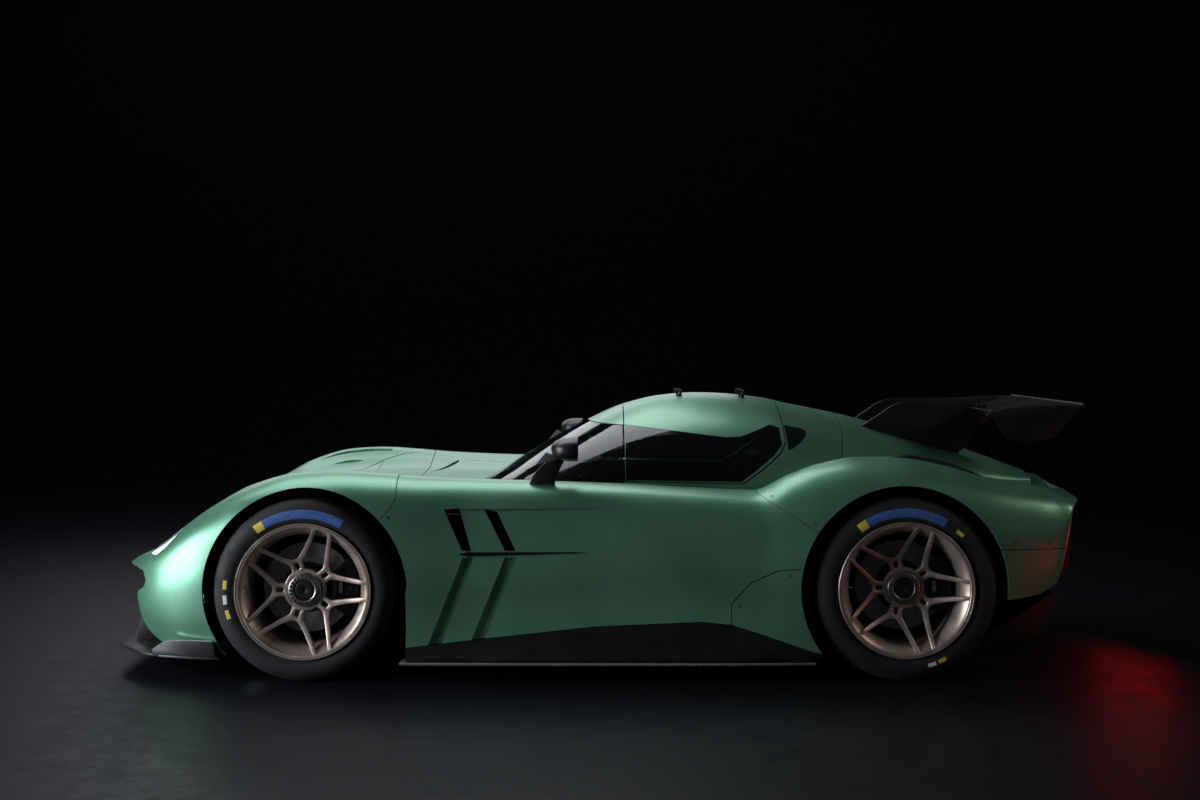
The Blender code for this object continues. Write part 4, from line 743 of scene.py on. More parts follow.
def behind(seam, gap=shell["gap"]):
    return [(3.0, seam[-1][1]), *reversed(shifted(seam, gap / 2)), (3.0, seam[0][1])]


def within(item, outline, low=-1.3, high=1.3, axis="Y"):
    return clip(item, plate(outline, low, high, axis))


def without(item, outline, low=-1.3, high=1.3, axis="Y"):
    return cut(item, plate(outline, low, high, axis))


def largest(item, keep=1):
    shape = shapeOf(item)
    shape.verts.ensure_lookup_table()
    groups = []
    seen = set()
    for first in shape.verts:
        if first in seen:
            continue
        group = {first}
        queue = [first]
        while queue:
            for edge in queue.pop().link_edges:
                for vert in edge.verts:
                    if vert not in group:
                        group.add(vert)
                        queue.append(vert)
        seen |= group
        groups.append(group)
    groups.sort(key=lambda g: -sum(f.calc_area() for v in g for f in v.link_faces))
    for group in groups[keep:]:
        bmesh.ops.delete(shape, geom=list(group), context="VERTS")
    shape.to_mesh(item.data)
    shape.free()
    return item


def outerY(x, z):
    # half width of the body at a height, below the wing's crest
    line = bodyHalf(x, 7)
    for (y0, z0), (y1, z1) in zip(line, line[1:]):
        if z0 <= z <= z1 and z1 > z0:
            return y0 + (y1 - y0) * (z - z0) / (z1 - z0)
    return line[0][0]


def eased(low, high, value):
    t = min(max((value - low) / (high - low), 0.0), 1.0)
    return t * t * (3 - 2 * t)


def pocket(pointAt, across, down, side=-1):
    # solid outside a face that lies some depth under the body's side; pointAt(u, v) gives x, z, depth
    shape = bmesh.new()
    inner, outer = [], []
    for i in range(across + 1):
        inner.append([])
        outer.append([])
        for j in range(down + 1):
            x, z, depth = pointAt(i / across, j / down)
            inner[-1].append(shape.verts.new((x, side * (outerY(x, z) - depth), z)))
            outer[-1].append(shape.verts.new((x, side * 1.2, z)))
    for grid in (inner, outer):
        for i in range(across):
            for j in range(down):
                shape.faces.new((grid[i][j], grid[i + 1][j], grid[i + 1][j + 1], grid[i][j + 1]))
    for i in range(across):
        for j in (0, down):
            shape.faces.new((inner[i][j], inner[i + 1][j], outer[i + 1][j], outer[i][j]))
    for j in range(down):
        for i in (0, across):
            shape.faces.new((inner[i][j], inner[i][j + 1], outer[i][j + 1], outer[i][j]))
    bmesh.ops.recalc_face_normals(shape, faces=shape.faces)
    return made(shape)


def surfaceOf(item):
    mesh = item.data
    points = [v.co.copy() for v in mesh.vertices]
    faces = [tuple(p.vertices) for p in mesh.polygons]
    normals = [v.normal.copy() for v in mesh.vertices]
    return BVHTree.FromPolygons(points, faces), points, faces, normals


def shadeLike(piece, surfaces, reach=0.0008):
    # normals from the uncut surfaces, so that the cuts leave no marks in the reflections
    mesh = piece.data
    found = []
    for vert in mesh.vertices:
        here = []
        for tree, points, faces, normals in surfaces:
            place, _, index, _ = tree.find_nearest(vert.co, reach)
            if place is None:
                continue
            corners = faces[index]
            shares = poly_3d_calc([points[k] for k in corners], place)
            smooth = sum((normals[k] * share for k, share in zip(corners, shares)), Vector())
            if smooth.length > 0.1:
                here.append(smooth.normalized())
        found.append(here)
    mesh.polygons.foreach_set("use_smooth", [True] * len(mesh.polygons))
    loops = [None] * len(mesh.loops)
    for face in mesh.polygons:
        flat = face.normal.copy()
        for index in face.loop_indices:
            best = max(found[mesh.loops[index].vertex_index], key=lambda n: n.dot(flat), default=None)
            loops[index] = best if best is not None and best.dot(flat) > 0.86 else flat
    mesh.normals_split_custom_set(loops)


def mirrored(piece, name, body, nodes, material, angle=32.0):
    shape = shapeOf(piece)
    flip(shape)
    return finishPiece(made(shape), name, material, body, nodes, angle)


def panel(item, name, look, node, surfaces, bodies=("body", "body"), inner=()):
    # a cut panel's largest shell, shaded as before the cuts; a left one gets its mirror image
    piece = finishPiece(largest(item), name, look, bodies[0], (node,))
    shadeLike(piece, [*surfaces, *inner])
    if name.endswith("Left"):
        twin = mirrored(piece, name[:-4] + "Right", bodies[1], (node[:-4] + "right",), look)
        shadeLike(twin, surfaces)


# Louvres and recess of the side, as places (x, z): leading and trailing edge, top and bottom.
louvre = {
    "upper": (((-0.664, 0.719), (-0.602, 0.724), (-0.588, 0.548), (-0.55, 0.548)),
              ((-0.498, 0.719), (-0.444, 0.709), (-0.409, 0.546), (-0.364, 0.546))),
    "lower": (((-0.584, 0.52), (-0.54, 0.52), (-0.738, 0.128), (-0.681, 0.128)),
              ((-0.409, 0.52), (-0.357, 0.52), (-0.564, 0.135), (-0.498, 0.165))),
    "upperDepth": (0.06, 0.045), "lowerDepth": (0.0105, 0.0195),
    "recessTop": 0.7205, "recessLow": 0.3, "recessEnd": 0.17, "recessDepth": 0.014,
    "bladeFront": (-0.6, 0.535), "bladeEnd": (-0.072, 0.54), "bladeThick": 0.013, "bladeProud": 0.016,
}


def recessPoint(u, v):
    z = louvre["recessLow"] + (louvre["recessTop"] - louvre["recessLow"]) * v
    front = -0.632 + (0.7205 - z) * 0.36 if z > 0.53 else -0.563 - (0.53 - z) * 0.37
    x = front + (louvre["recessEnd"] + 0.03 - front) * u
    fade = 1 - eased(-0.42, louvre["recessEnd"], x)
    depth = louvre["recessDepth"] * fade * eased(louvre["recessLow"] + 0.02, 0.7, z) - 0.0012
    return x, z, depth


def slotPoint(corners, deep, shallow):
    (ax, az), (bx, bz), (cx, cz), (dx, dz) = corners

    def at(u, v):
        topX, topZ = ax + (bx - ax) * u, az + (bz - az) * u
        lowX, lowZ = cx + (dx - cx) * u, cz + (dz - cz) * u
        return topX + (lowX - topX) * v, topZ + (lowZ - topZ) * v, deep + (shallow - deep) * u

    return at


def buildShells():
    body = join(lowerOuter(), cabinOuter(), "UNION")
    cut(body, lowerInner())
    cut(body, cabinInner(shell["wall"]))
    cutArches(body)
    cut(body, within(cabinOuter(shell["gap"]), aheadOf(clamSeam, -shell["gap"])))
    room = cabinOuter(shell["doorGap"] + shell["gap"] / 2)
    clip(room, block((0.085, -1.0, 0.3), (0.84, 1.0, 1.5)))
    cut(body, room)
    roof = cabinOuter()
    cut(roof, cabinInner(shell["cabinWall"]))
    within(roof, aheadOf(clamSeam))
    cut(roof, lowerOuter())
    return body, roof


def quarterOutline(grow=0.0):
    return [(x - grow, z + grow) for x, z in quarterEdge] + [(quarterEdge[-1][0], -0.1)]


def skirtOutline(grow=0.0):
    upper = [(x, z + grow) for x, z in skirtEdge]
    first, last = skirtEdge[0][0] - 0.035, skirtEdge[-1][0] + 0.035
    return [(first, 0.02), (first, upper[0][1]), *upper, (last, upper[-1][1]), (last, 0.02)]


def lampPrism(side, inset):
    middleX = sum(x for x, _ in lampPlan) / len(lampPlan)
    middleY = sum(y for _, y in lampPlan) / len(lampPlan)
    outline = []
    for x, y in lampPlan:
        share = 1 - inset / hypot(x - middleX, y - middleY)
        outline.append((middleX + (x - middleX) * share, side * (middleY + (y - middleY) * share)))
    return plate(outline, 0.4, 0.8, "Z")


def doorEdge(grow=0.0):
    return [(x + copysign(grow, x - 0.45), z + copysign(grow, z - 1.0)) for x, z in doorOutline]


# The mouth under the nose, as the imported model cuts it, and slots in the wings and bonnet: a line in plan
# (x, y) and the slot's width at each of its places.
mouth = ((-2.3, 0.436), (-1.975, 0.439), (-1.953, 0.4), (-1.965, 0.372), (-2.008, 0.345), (-2.045, 0.3),
         (-2.045, 0.2), (-2.3, 0.2))
wingSlots = (
    (((-1.47, 0.662), (-1.4, 0.674), (-1.3, 0.682), (-1.2, 0.684), (-1.1, 0.682), (-1.03, 0.674)),
     (0.004, 0.03, 0.046, 0.046, 0.034, 0.006)),
    (((-1.235, 0.3), (-1.19, 0.37), (-1.124, 0.5), (-1.04, 0.61), (-0.96, 0.672)),
     (0.003, 0.006, 0.008, 0.008, 0.003)),
    (((-1.118, 0.29), (-1.118, 0.485)), (0.003, 0.003)),
)
bonnetSlot = (((-0.832, 0.25), (-0.79, 0.38), (-0.75, 0.5), (-0.735, 0.545)), (0.008, 0.02, 0.022, 0.014))


def planStrip(line, widths, side):
    left, right = [], []
    for i, ((x, y), width) in enumerate(zip(line, widths)):
        before, after = line[max(i - 1, 0)], line[min(i + 1, len(line) - 1)]
        dx, dy = after[0] - before[0], after[1] - before[1]
        size = hypot(dx, dy)
        left.append((x - dy / size * width / 2, side * (y + dx / size * width / 2)))
        right.append((x + dy / size * width / 2, side * (y - dx / size * width / 2)))
    return left + right[::-1]


def makeLowerPanels(lower, surfaces):
    half, gap, seam = shell["bonnetHalf"], shell["gap"], shell["tailSeam"]
    front = without(within(duplicate(lower), aheadOf(frontSeam)), mouth)
    for side in (-1, 1):
        cut(front, lampPrism(side, 0.0))
        for line, widths in wingSlots:
            without(front, planStrip(line, widths, side), 0.6, 1.0, "Z")
    panel(front, "frontClamPanel", "paint", "front_clam", surfaces)

    bonnet = within(duplicate(lower), behind(frontSeam))
    within(bonnet, rectangle(-1.0, -half, 1.0, half), 0.6, 1.3, "Z")
    within(bonnet, rectangle(-1.0, 0.3, 0.2, 1.3))
    for side in (-1, 1):
        without(bonnet, planStrip(*bonnetSlot, side), 0.6, 1.0, "Z")
    panel(bonnet, "bonnetPanel", "paint", "bonnet", surfaces)

    flank = within(within(duplicate(lower), behind(frontSeam)), aheadOf(rearSeam), -1.3, 0.0)
    without(without(flank, quarterOutline(gap / 2)), skirtOutline(gap / 2))
    without(flank, rectangle(-1.0, 0.6, 1.0, 1.3), -(half + gap), 0.1)
    recess = pocket(recessPoint, 60, 40)
    inside = [surfaceOf(recess)]
    cut(flank, recess)
    for corners in louvre["upper"]:
        cut(flank, pocket(slotPoint(corners, *louvre["upperDepth"]), 3, 12))
    for corners in louvre["lower"]:
        tool = pocket(slotPoint(corners, *louvre["lowerDepth"]), 6, 16)
        inside.append(surfaceOf(tool))
        cut(flank, tool)
    panel(flank, "sidePanelLeft", "paint", "side_panel_left", surfaces,
          inner=[turnedInside(surface) for surface in inside])

    quarter = within(duplicate(lower), quarterOutline(-gap / 2), -1.3, -0.4)
    without(quarter, skirtOutline(gap / 2))
    panel(quarter, "rearQuarterLeft", "paint", "rear_quarter_left", surfaces)
    skirt = within(duplicate(lower), skirtOutline(-gap / 2), -1.3, -0.4)
    panel(skirt, "skirtLeft", "carbon", "skirt_left", surfaces)

    bumper = within(duplicate(lower), rectangle(1.55, 0.0, 2.3, seam - gap / 2))
    without(bumper, [(-0.56, 0.385), (0.56, 0.385), (0.6, 0.53), (-0.6, 0.53)], 1.8, 2.3, "X")
    panel(bumper, "rearBumperPanel", "paint", "rear_bumper", surfaces)

    clam = without(within(duplicate(lower), behind(rearSeam)), quarterOutline(gap / 2))
    without(clam, rectangle(1.55, -0.1, 2.4, seam + gap / 2))
    for side in (-1, 1):
        slot = [(1.24, side * 0.7), (1.62, side * 0.69), (1.6, side * 0.66), (1.27, side * 0.655)]
        without(clam, slot, 0.6, 1.2, "Z")
    panel(clam, "rearClamPanel", "paint", "rear_clam", surfaces)
    print("stage: lower panels made")


def turnedInside(surface):
    tree, points, faces, normals = surface
    return tree, points, faces, [-n for n in normals]


def makeCanopy(roof, surfaces):
    gap, doors = shell["gap"], ("door_left", "door_right")
    glass = cut(cut(cabinOuter(), cabinInner(shell["glass"])), lowerOuter())
    screenTop = [(-0.8, headerFront[1] + 0.01), headerFront, headerRear]
    under = [(headerRear[0], 0.5), (-0.8, 0.5)]
    screen = within(duplicate(glass), [(x, z - gap / 2) for x, z in screenTop] + under)
    within(screen, rectangle(-0.9, 0.4, headerRear[0] - gap, 1.3))
    panel(screen, "windscreenGlass", "glass", "windscreen", surfaces)

    rooms = without(duplicate(roof), [(x, z + gap / 2) for x, z in screenTop] + under)
    without(rooms, rectangle(headerRear[0] - 0.01, 0.5, doorOutline[0][0] - shell["doorGap"], headerRear[1]))
    for side in (-1, 1):
        without(rooms, doorEdge(shell["doorGap"]), *span(side, shell["spineHalf"], 1.3))
        without(rooms, quarterGlass, *span(side, 0.3, 1.3))
    panel(rooms, "roofFramePanel", "paint", "roof_frame", surfaces)

    door = within(duplicate(roof), doorOutline, *span(-1, shell["spineHalf"] + shell["doorGap"], 1.3))
    without(door, windowOutline, -1.3, -0.2)
    panel(door, "doorPanelLeft", "paint", "door_left", surfaces, doors)
    pane = within(duplicate(glass), windowOutline, -1.3, -0.2)
    panel(pane, "doorGlassLeft", "glass", "door_glass_left", surfaces, doors)
    pane = within(duplicate(glass), quarterGlass, -1.3, -0.2)
    panel(pane, "quarterGlassLeft", "darkGlass", "quarter_glass_left", surfaces)
    print("stage: canopy made")


def roundBox(u, v, halfU, halfV, corner, steps=4):
    points = []
    for sideU, sideV, start in ((1, 1, 0), (-1, 1, 90), (-1, -1, 180), (1, -1, 270)):
        for step in range(steps + 1):
            angle = radians(start + 90 * step / steps)
            points.append((u + sideU * (halfU - corner) + corner * cos(angle),
                           v + sideV * (halfV - corner) + corner * sin(angle)))
    return points


# Wheels, metres: radii about the axle, and depths in from the lip's plane.
wheel = {
    "lip": 0.97, "radius": 0.284, "bead": 0.2717, "barrel": 0.233, "tyreInset": 0.005,
    "frontRecess": 0.057, "rearRecess": 0.081, "armThick": 0.025, "flange": 0.0885, "nut": 0.069,
    "cap": 0.044, "window": (0.103, 0.0145, 0.0095), "slots": 22, "disc": 0.19, "discThick": 0.032,
    "bell": 0.04, "hubBack": 0.044, "steps": 96, "tyreSteps": 48, "caliperGap": 0.006,
}
corners = (("FrontLeft", -1.248, 0.381, 0.285, -1), ("FrontRight", -1.248, 0.381, 0.285, 1),
           ("RearLeft", 1.263, 0.386, 0.34, -1), ("RearRight", 1.263, 0.386, 0.34, 1))
# Half of a forked spoke, along its stem and across it: stem side, outer side of the arm, its inner side.
spokeHalf = ((0.06, 0.033), (0.08, 0.029), (0.096, 0.0272), (0.108, 0.0278), (0.117, 0.031),
             (0.13, 0.043), (0.152, 0.064), (0.178, 0.089), (0.204, 0.113), (0.229, 0.136),
             (0.233, 0.14), (0.244, 0.129), (0.24, 0.1235), (0.216, 0.1), (0.19, 0.074),
             (0.166, 0.0495), (0.15, 0.031), (0.1415, 0.0195), (0.136, 0.01))


def spokeFace(r, recess):
    # depth of a spoke's face under the lip's plane at a radius
    share = min(max((r - 0.09) / (0.268 - 0.09), 0.0), 1.0)
    return recess + (0.0045 - recess) * (0.3 * share + 0.7 * share ** 1.9)


def makeSpoke(angle, recess):
    outline = list(spokeHalf) + [(0.1345, 0.0)] + [(u, -v) for u, v in reversed(spokeHalf)]
    u, halfU, halfV = wheel["window"]
    item = sheet(outline, [roundBox(u, 0.0, halfU, halfV, 0.006)], -wheel["armThick"], 0.0, 0.0034)
    turn = radians(angle)
    for vert in item.data.vertices:
        x, along, z = vert.co
        r = hypot(x, z)
        sunk = spokeFace(r, recess)
        narrow = 1.0 - 0.25 * min(max((r - 0.13) / 0.13, 0.0), 1.0)
        vert.co = (x * cos(turn) - z * sin(turn), wheel["lip"] - sunk + along * narrow,
                   x * sin(turn) + z * cos(turn))
    return item


def makeRimMesh(width, recess):
    lip = wheel["lip"]
    back = lip - wheel["tyreInset"] - width + 0.02
    bead = wheel["bead"]
    barrel = wheel["barrel"]
    well = barrel + 0.008
    radius = wheel["radius"]
    profile = [(radius, lip - 0.001), (radius - 0.001, lip), (radius - 0.005, lip),
               (radius - 0.0058, lip - 0.001), (radius - 0.0062, lip - 0.0065),
               (radius - 0.0078, lip - 0.0065), (radius - 0.0082, lip - 0.0022),
               (radius - 0.0092, lip - 0.0014), (radius - 0.016, lip - 0.0022),
               (radius - 0.0185, lip - 0.005), (radius - 0.02, lip - 0.013), (radius - 0.0245, lip - 0.0165),
               (barrel + 0.006, lip - 0.052), (barrel + 0.001, lip - 0.066), (barrel, lip - 0.082),
               (barrel, back + 0.03), (bead - 0.01, back), (bead, back), (bead, back + 0.02),
               (well, back + 0.045), (well, lip - 0.09), (bead, lip - 0.055), (bead, lip - 0.03),
               (radius, lip - 0.012)]
    items = [lathe(profile, wheel["steps"])]
    face = lip - recess
    edge = wheel["flange"]
    items.append(lathe([(0.036, face - wheel["hubBack"] + 0.001),
                        (edge - 0.003, face - wheel["hubBack"] + 0.001), (edge - 0.001, face - 0.02),
                        (edge, face - 0.0055), (edge - 0.002, face - 0.0012), (edge - 0.005, face + 0.0002),
                        (0.0745, face + 0.0002), (0.072, face - 0.003), (0.07, face - 0.008),
                        (0.036, face - 0.008)], 72))
    for spoke in range(5):
        items.append(makeSpoke(72.0 * spoke, recess))
    return together(items).data


def makeNutMesh(recess):
    # centre-lock ring with a slot for each pin of its tool
    face = wheel["lip"] - recess
    outer, inner = wheel["nut"], wheel["cap"]
    ring = lathe([(inner, face - 0.004), (outer, face - 0.004), (outer, face + 0.008),
                  (outer - 0.002, face + 0.0115), (outer - 0.004, face + 0.013),
                  (inner + 0.006, face + 0.015), (inner + 0.003, face + 0.015), (inner, face + 0.0125)], 72)
    slots = []
    for step in range(wheel["slots"]):
        slot = block((0.0505, face + 0.003, -0.0042), (0.063, face + 0.03, 0.0042))
        slot.data.transform(Matrix.Rotation(2 * pi * step / wheel["slots"], 4, "Y"))
        slots.append(slot)
    cut(ring, together(slots))
    return ring.data


def makeCapMesh(recess):
    face = wheel["lip"] - recess
    reach = wheel["cap"] - 0.0004
    cap = lathe([(0.0045, face - 0.004), (0.0045, face + 0.0085), (0.0065, face + 0.01), (0.03, face + 0.0115),
                 (reach - 0.005, face + 0.0105), (reach - 0.0015, face + 0.008), (reach, face + 0.004),
                 (reach, face - 0.004)], 60)
    return together([cap, drum(0.0044, face - 0.004, face + 0.0015, 16)]).data


def makeDiscMesh(recess):
    face = wheel["lip"] - recess - 0.0443
    outer = face - wheel["bell"]
    inner = outer - wheel["discThick"]
    ring = lathe([(0.03, outer - 0.001), (wheel["disc"] - 0.0015, outer - 0.001),
                  (wheel["disc"], outer - 0.0025), (wheel["disc"], inner + 0.0015),
                  (wheel["disc"] - 0.0015, inner), (0.03, inner)], 96)
    holes = []
    for r, shift in ((0.124, 0.0), (0.139, 6.0), (0.154, 12.0), (0.168, 3.0), (0.18, 9.0)):
        for k in range(20):
            angle = radians(shift + 360.0 * k / 20)
            x, z = r * cos(angle), r * sin(angle)
            holes.append(bar((x, inner - 0.01, z), (x, outer + 0.01, z), 0.0026, 8))
    cut(ring, together(holes))
    return ring.data


def makeBellMesh(recess):
    # anodised bell with its drive lugs and float bolts
    face = wheel["lip"] - recess - 0.0443
    outer = face - wheel["bell"]
    items = [lathe([(0.03, face), (wheel["nut"] - 0.001, face), (wheel["nut"] + 0.001, face - 0.002),
                    (0.076, outer + 0.006), (0.08, outer + 0.0025), (0.104, outer + 0.0025),
                    (0.106, outer + 0.001), (0.106, outer - 0.0005), (0.03, outer - 0.0005)], 60)]
    for k in range(10):
        angle = radians(36.0 * k + 9.0)
        x, z = cos(angle), sin(angle)
        items.append(bar((0.097 * x, outer, 0.097 * z), (0.097 * x, outer + 0.008, 0.097 * z), 0.0065, 6))
        lug = block((0.072, outer, -0.004), (0.09, outer + 0.02, 0.004), 0.0015, 1)
        lug.data.transform(Matrix.Rotation(-angle - radians(18.0), 4, "Y"))
        items.append(lug)
    return together(items).data


def tyreProfile(radius, width):
    outer = wheel["lip"] - wheel["tyreInset"]
    inner = outer - width
    return [(0.2722, outer - 0.03), (0.2855, outer - 0.0095), (0.296, outer - 0.0035), (0.311, outer - 0.0002),
            (0.33, outer), (0.349, outer - 0.006), (radius - 0.0155, outer - 0.017),
            (radius - 0.005, outer - 0.031), (radius, outer - 0.052), (radius, inner + 0.045),
            (radius - 0.015, inner + 0.011), (0.3, inner), (0.2722, inner + 0.03)]


def sidewallMark(profile, low, high, start, end):
    # thin coloured strip lying on the side wall's facets between two angles
    pitch = 360.0 / wheel["tyreSteps"]
    angles = sorted({start, end} | {pitch * k for k in range(-48, 97) if start < pitch * k < end})
    rows = [low] + [r for r, _ in profile[:8] if low < r < high] + [high]
    layers = [(r, 0.0007) for r in rows] + [(r, -0.0006) for r in reversed(rows)]
    rings = []
    for angle in angles:
        cell = math.floor(angle / pitch + 1e-6)
        share = angle / pitch - cell
        a, b = radians(pitch * cell), radians(pitch * (cell + 1))
        c, s = [(1 - share) * way(a) + share * way(b) for way in (cos, sin)]
        rings.append([(r * c, levelOn(profile, r) + lift, r * s) for r, lift in layers])
    return strand(rings)


def placed(mesh, axle, height, side):
    # wheel meshes are made for the right side; the left ones are turned half round about Z
    copy = mesh.copy()
    turn = Matrix.Rotation(pi, 4, "Z") if side < 0 else Matrix.Identity(4)
    copy.transform(Matrix.Translation((axle, 0, height)) @ turn)
    return linkMesh("placed", copy)


def camelToNode(kind, corner):
    place = corner.replace("Left", "_left").replace("Right", "_right").lower()
    return kind + "_" + place


def makeWheels():
    # on the left wheels, angles from the tail's side upwards: the band with its end piece, then small bars
    band = ((60.0, 120.0, "blueBand"), (120.4, 127.5, "yellowMark"))
    bars = {"Front": ((171.6, 178.2, "yellowMark"), (182.6, 189.2, "whiteMark"), (193.6, 200.2, "yellowMark")),
            "Rear": ((44.0, 50.0, "yellowMark"), (286.0, 292.0, "whiteMark"), (294.0, 300.0, "yellowMark"))}
    for corner, axle, radius, width, side in corners:
        recess = wheel["frontRecess"] if corner.startswith("Front") else wheel["rearRecess"]
        body = camelToNode("wheel", corner)
        parts = (("rim", makeRimMesh(width, recess), "bronze", "bronze_alloy", ("rim",), 38),
                 ("centreNut", makeNutMesh(recess), "steel", "steel", (), 40),
                 ("hubCap", makeCapMesh(recess), "caliper", "cast_alloy", (), 40),
                 ("brakeDisc", makeDiscMesh(recess), "disc", "disc", ("disc",), 30),
                 ("brakeBell", makeBellMesh(recess), "caliper", "cast_alloy", (), 35))
        for title, mesh, look, slotName, nodes, angle in parts:
            piece = finishPiece(placed(mesh, axle, radius, side), title + corner, look, body,
                                [camelToNode(n, corner) for n in nodes], angle)
            piece.data.name = title + corner
        profile = tyreProfile(radius, width)
        tyre = placed(lathe(profile, wheel["tyreSteps"]).data, axle, radius, side)
        finishPiece(tyre, "tyre" + corner, "rubber", body, (camelToNode("tyre", corner),), 50)
        marks = [(0.305, 0.342, *mark) for mark in band]
        marks += [(0.317, 0.333, *mark) for mark in bars["Front" if corner.startswith("Front") else "Rear"]]
        for index, (low, high, start, end, look) in enumerate(marks):
            mark = sidewallMark(profile, low, high, 180.0 - end, 180.0 - start)
            finishPiece(placed(mark.data, axle, radius, side), "sidewallMark" + corner + str(index), look, body,
                        (), 50)
        valve = bar((0.244, wheel["lip"] - 0.034, 0.012), (0.227, wheel["lip"] - 0.018, 0.011), 0.0035, 10)
        finishPiece(placed(valve.data, axle, radius, side), "valveStem" + corner, "steel", body, (),
                    50)
    print("stage: wheels made")


def makeUprights():
    for corner, axle, radius, _, side in corners:
        front = corner.startswith("Front")
        recess = wheel["frontRecess"] if front else wheel["rearRecess"]
        face = wheel["lip"] - recess - 0.044
        outer = face - wheel["bell"]
        inner = outer - wheel["discThick"]
        plane = inner - 0.02
        low, top = -0.1407, 0.1427
        outline = [(-0.034, low), (0.034, low), (0.06, low + 0.02), (0.138, -0.068), (0.15, -0.055),
                   (0.15, 0.055), (0.138, 0.068), (0.06, top - 0.02), (0.034, top), (-0.029, top),
                   (-0.05, top - 0.024), (-0.07, 0.02), (-0.07, -0.02), (-0.05, low + 0.024)]
        pad = roundBox(0.085, 0.0, 0.022, 0.03, 0.01)
        body = sheet(outline, [pad], plane - 0.045, plane, 0.004)
        stub = lathe([(0.0, plane - 0.03), (0.0295, plane - 0.03), (0.0295, face - 0.006),
                      (0.0265, face - 0.004), (0.0, face - 0.004)], 40)
        piece = together([body, stub])
        owner = "knuckle_" + ("left" if side < 0 else "right") if front else "body"
        # the caliper stands on the +X side of both axles on both sides of the car
        piece = asPlaced(piece, axle, radius, side)
        finishPiece(piece, "upright" + corner, "cast", owner, (camelToNode("upright", corner),))

        arc = [radians(-36 + 72 * k / 14) for k in range(15)]
        outside, inside = wheel["disc"] + 0.026, wheel["disc"] - 0.064
        ring = arcAt(outside, arc) + arcAt(inside, reversed(arc))
        room = wheel["discThick"] + 2 * wheel["caliperGap"]
        middle = (outer + inner) / 2
        halves = [sheet(ring, [], middle + room / 2, outer + 0.03, 0.0045),
                  sheet(ring, [], plane - 0.028, middle - room / 2, 0.0045)]
        for start in (-34, -13, 8):
            span = [radians(start + 5 + 12 * k / 5) for k in range(6)]
            bridge = arcAt(wheel["disc"] + 0.024, span) + arcAt(wheel["disc"] + 0.0075, reversed(span))
            halves.append(sheet(bridge, [], plane - 0.02, outer + 0.024, 0.002))
            centre = radians(start + 11)
            r = wheel["disc"] - 0.02
            cover = lathe([(0.0, 0.0), (0.0165, 0.0), (0.0165, 0.003), (0.014, 0.005), (0.0, 0.005)], 28)
            halves.append(moved(cover, (r * cos(centre), outer + 0.0295, r * sin(centre))))
        caliper = asPlaced(together(halves), axle, radius, side)
        finishPiece(caliper, "caliper" + corner, "caliper", owner)
        badge = asPlaced(sheet(roundBox(0.1405, 0.0, 0.0085, 0.022, 0.004), [], outer + 0.0295,
                               outer + 0.0312, 0.0004), axle, radius, side)
        finishPiece(badge, "caliperPlate" + corner, "edge", owner)
    print("stage: uprights made")


def asPlaced(item, axle, height, side):
    # keeps +X as it is and mirrors across the centre plane for the left side
    shape = shapeOf(item)
    if side < 0:
        flip(shape)
    bmesh.ops.translate(shape, vec=(axle, 0, height), verts=shape.verts)
    shape.to_mesh(item.data)
    shape.free()
    return item


def makeLiners():
    # matt black wheel houses: a curved band behind the arch's edge and a wall at its inner side
    near, end = 0.522, 213
    for corner, axle, radius, _, side in corners:
        shift, start, far = (0.006, -33, 0.902) if corner.startswith("Front") else (-0.006, -6, 0.89)
        reach = radius + shell["archClearance"] + 0.0025
        band = lathe([(reach, near), (reach + 0.002, near), (reach + 0.002, far), (reach, far)], 48, start, end)
        arc = [radians(start + (end - start) * k / 40) for k in range(41)]
        wall = plate(arcAt(reach + 0.002, arc), near - 0.003, near)
        finishPiece(asPlaced(together([band, wall]), axle + shift, radius, side), "wheelHouse" + corner,
                    "liner", "body", (), 30)
    print("stage: wheel houses made")


def strand(rings):
    # closed body through rings of points
    shape = bmesh.new()
    rows = [[shape.verts.new(point) for point in ring] for ring in rings]
    skinRings(shape, rows)
    shape.faces.new(rows[0])
    shape.faces.new(rows[-1])
    bmesh.ops.recalc_face_normals(shape, faces=shape.faces)
    return made(shape)


def bothSides(item, name, material, nodes=(), bodies=("body", "body"), angle=32.0):
    # the left piece as made, and its mirror image on the right
    left = finishPiece(item, name + "Left", material, bodies[0],
                       [node + "_left" for node in nodes], angle)
    return left, mirrored(left, name + "Right", bodies[1], [node + "_right" for node in nodes],
                          material, angle)


# Small parts of the body's sides, metres.
sill = {"front": -0.845, "rear": 0.884, "low": 0.0785, "top": 0.0903, "inner": 0.9}
board = {"front": -0.52, "rear": 0.8, "low": 0.097, "top": 0.149, "proud": 0.0035, "limit": 0.9948}
fasteners = ((-0.8925, 0.69), (0.7143, 0.768), (0.8804, 0.664), (0.7766, 0.448), (0.5716, 0.321),
             (0.5691, 0.1053), (0.8264, 0.1053), (1.713, 0.585), (1.864, 0.58))


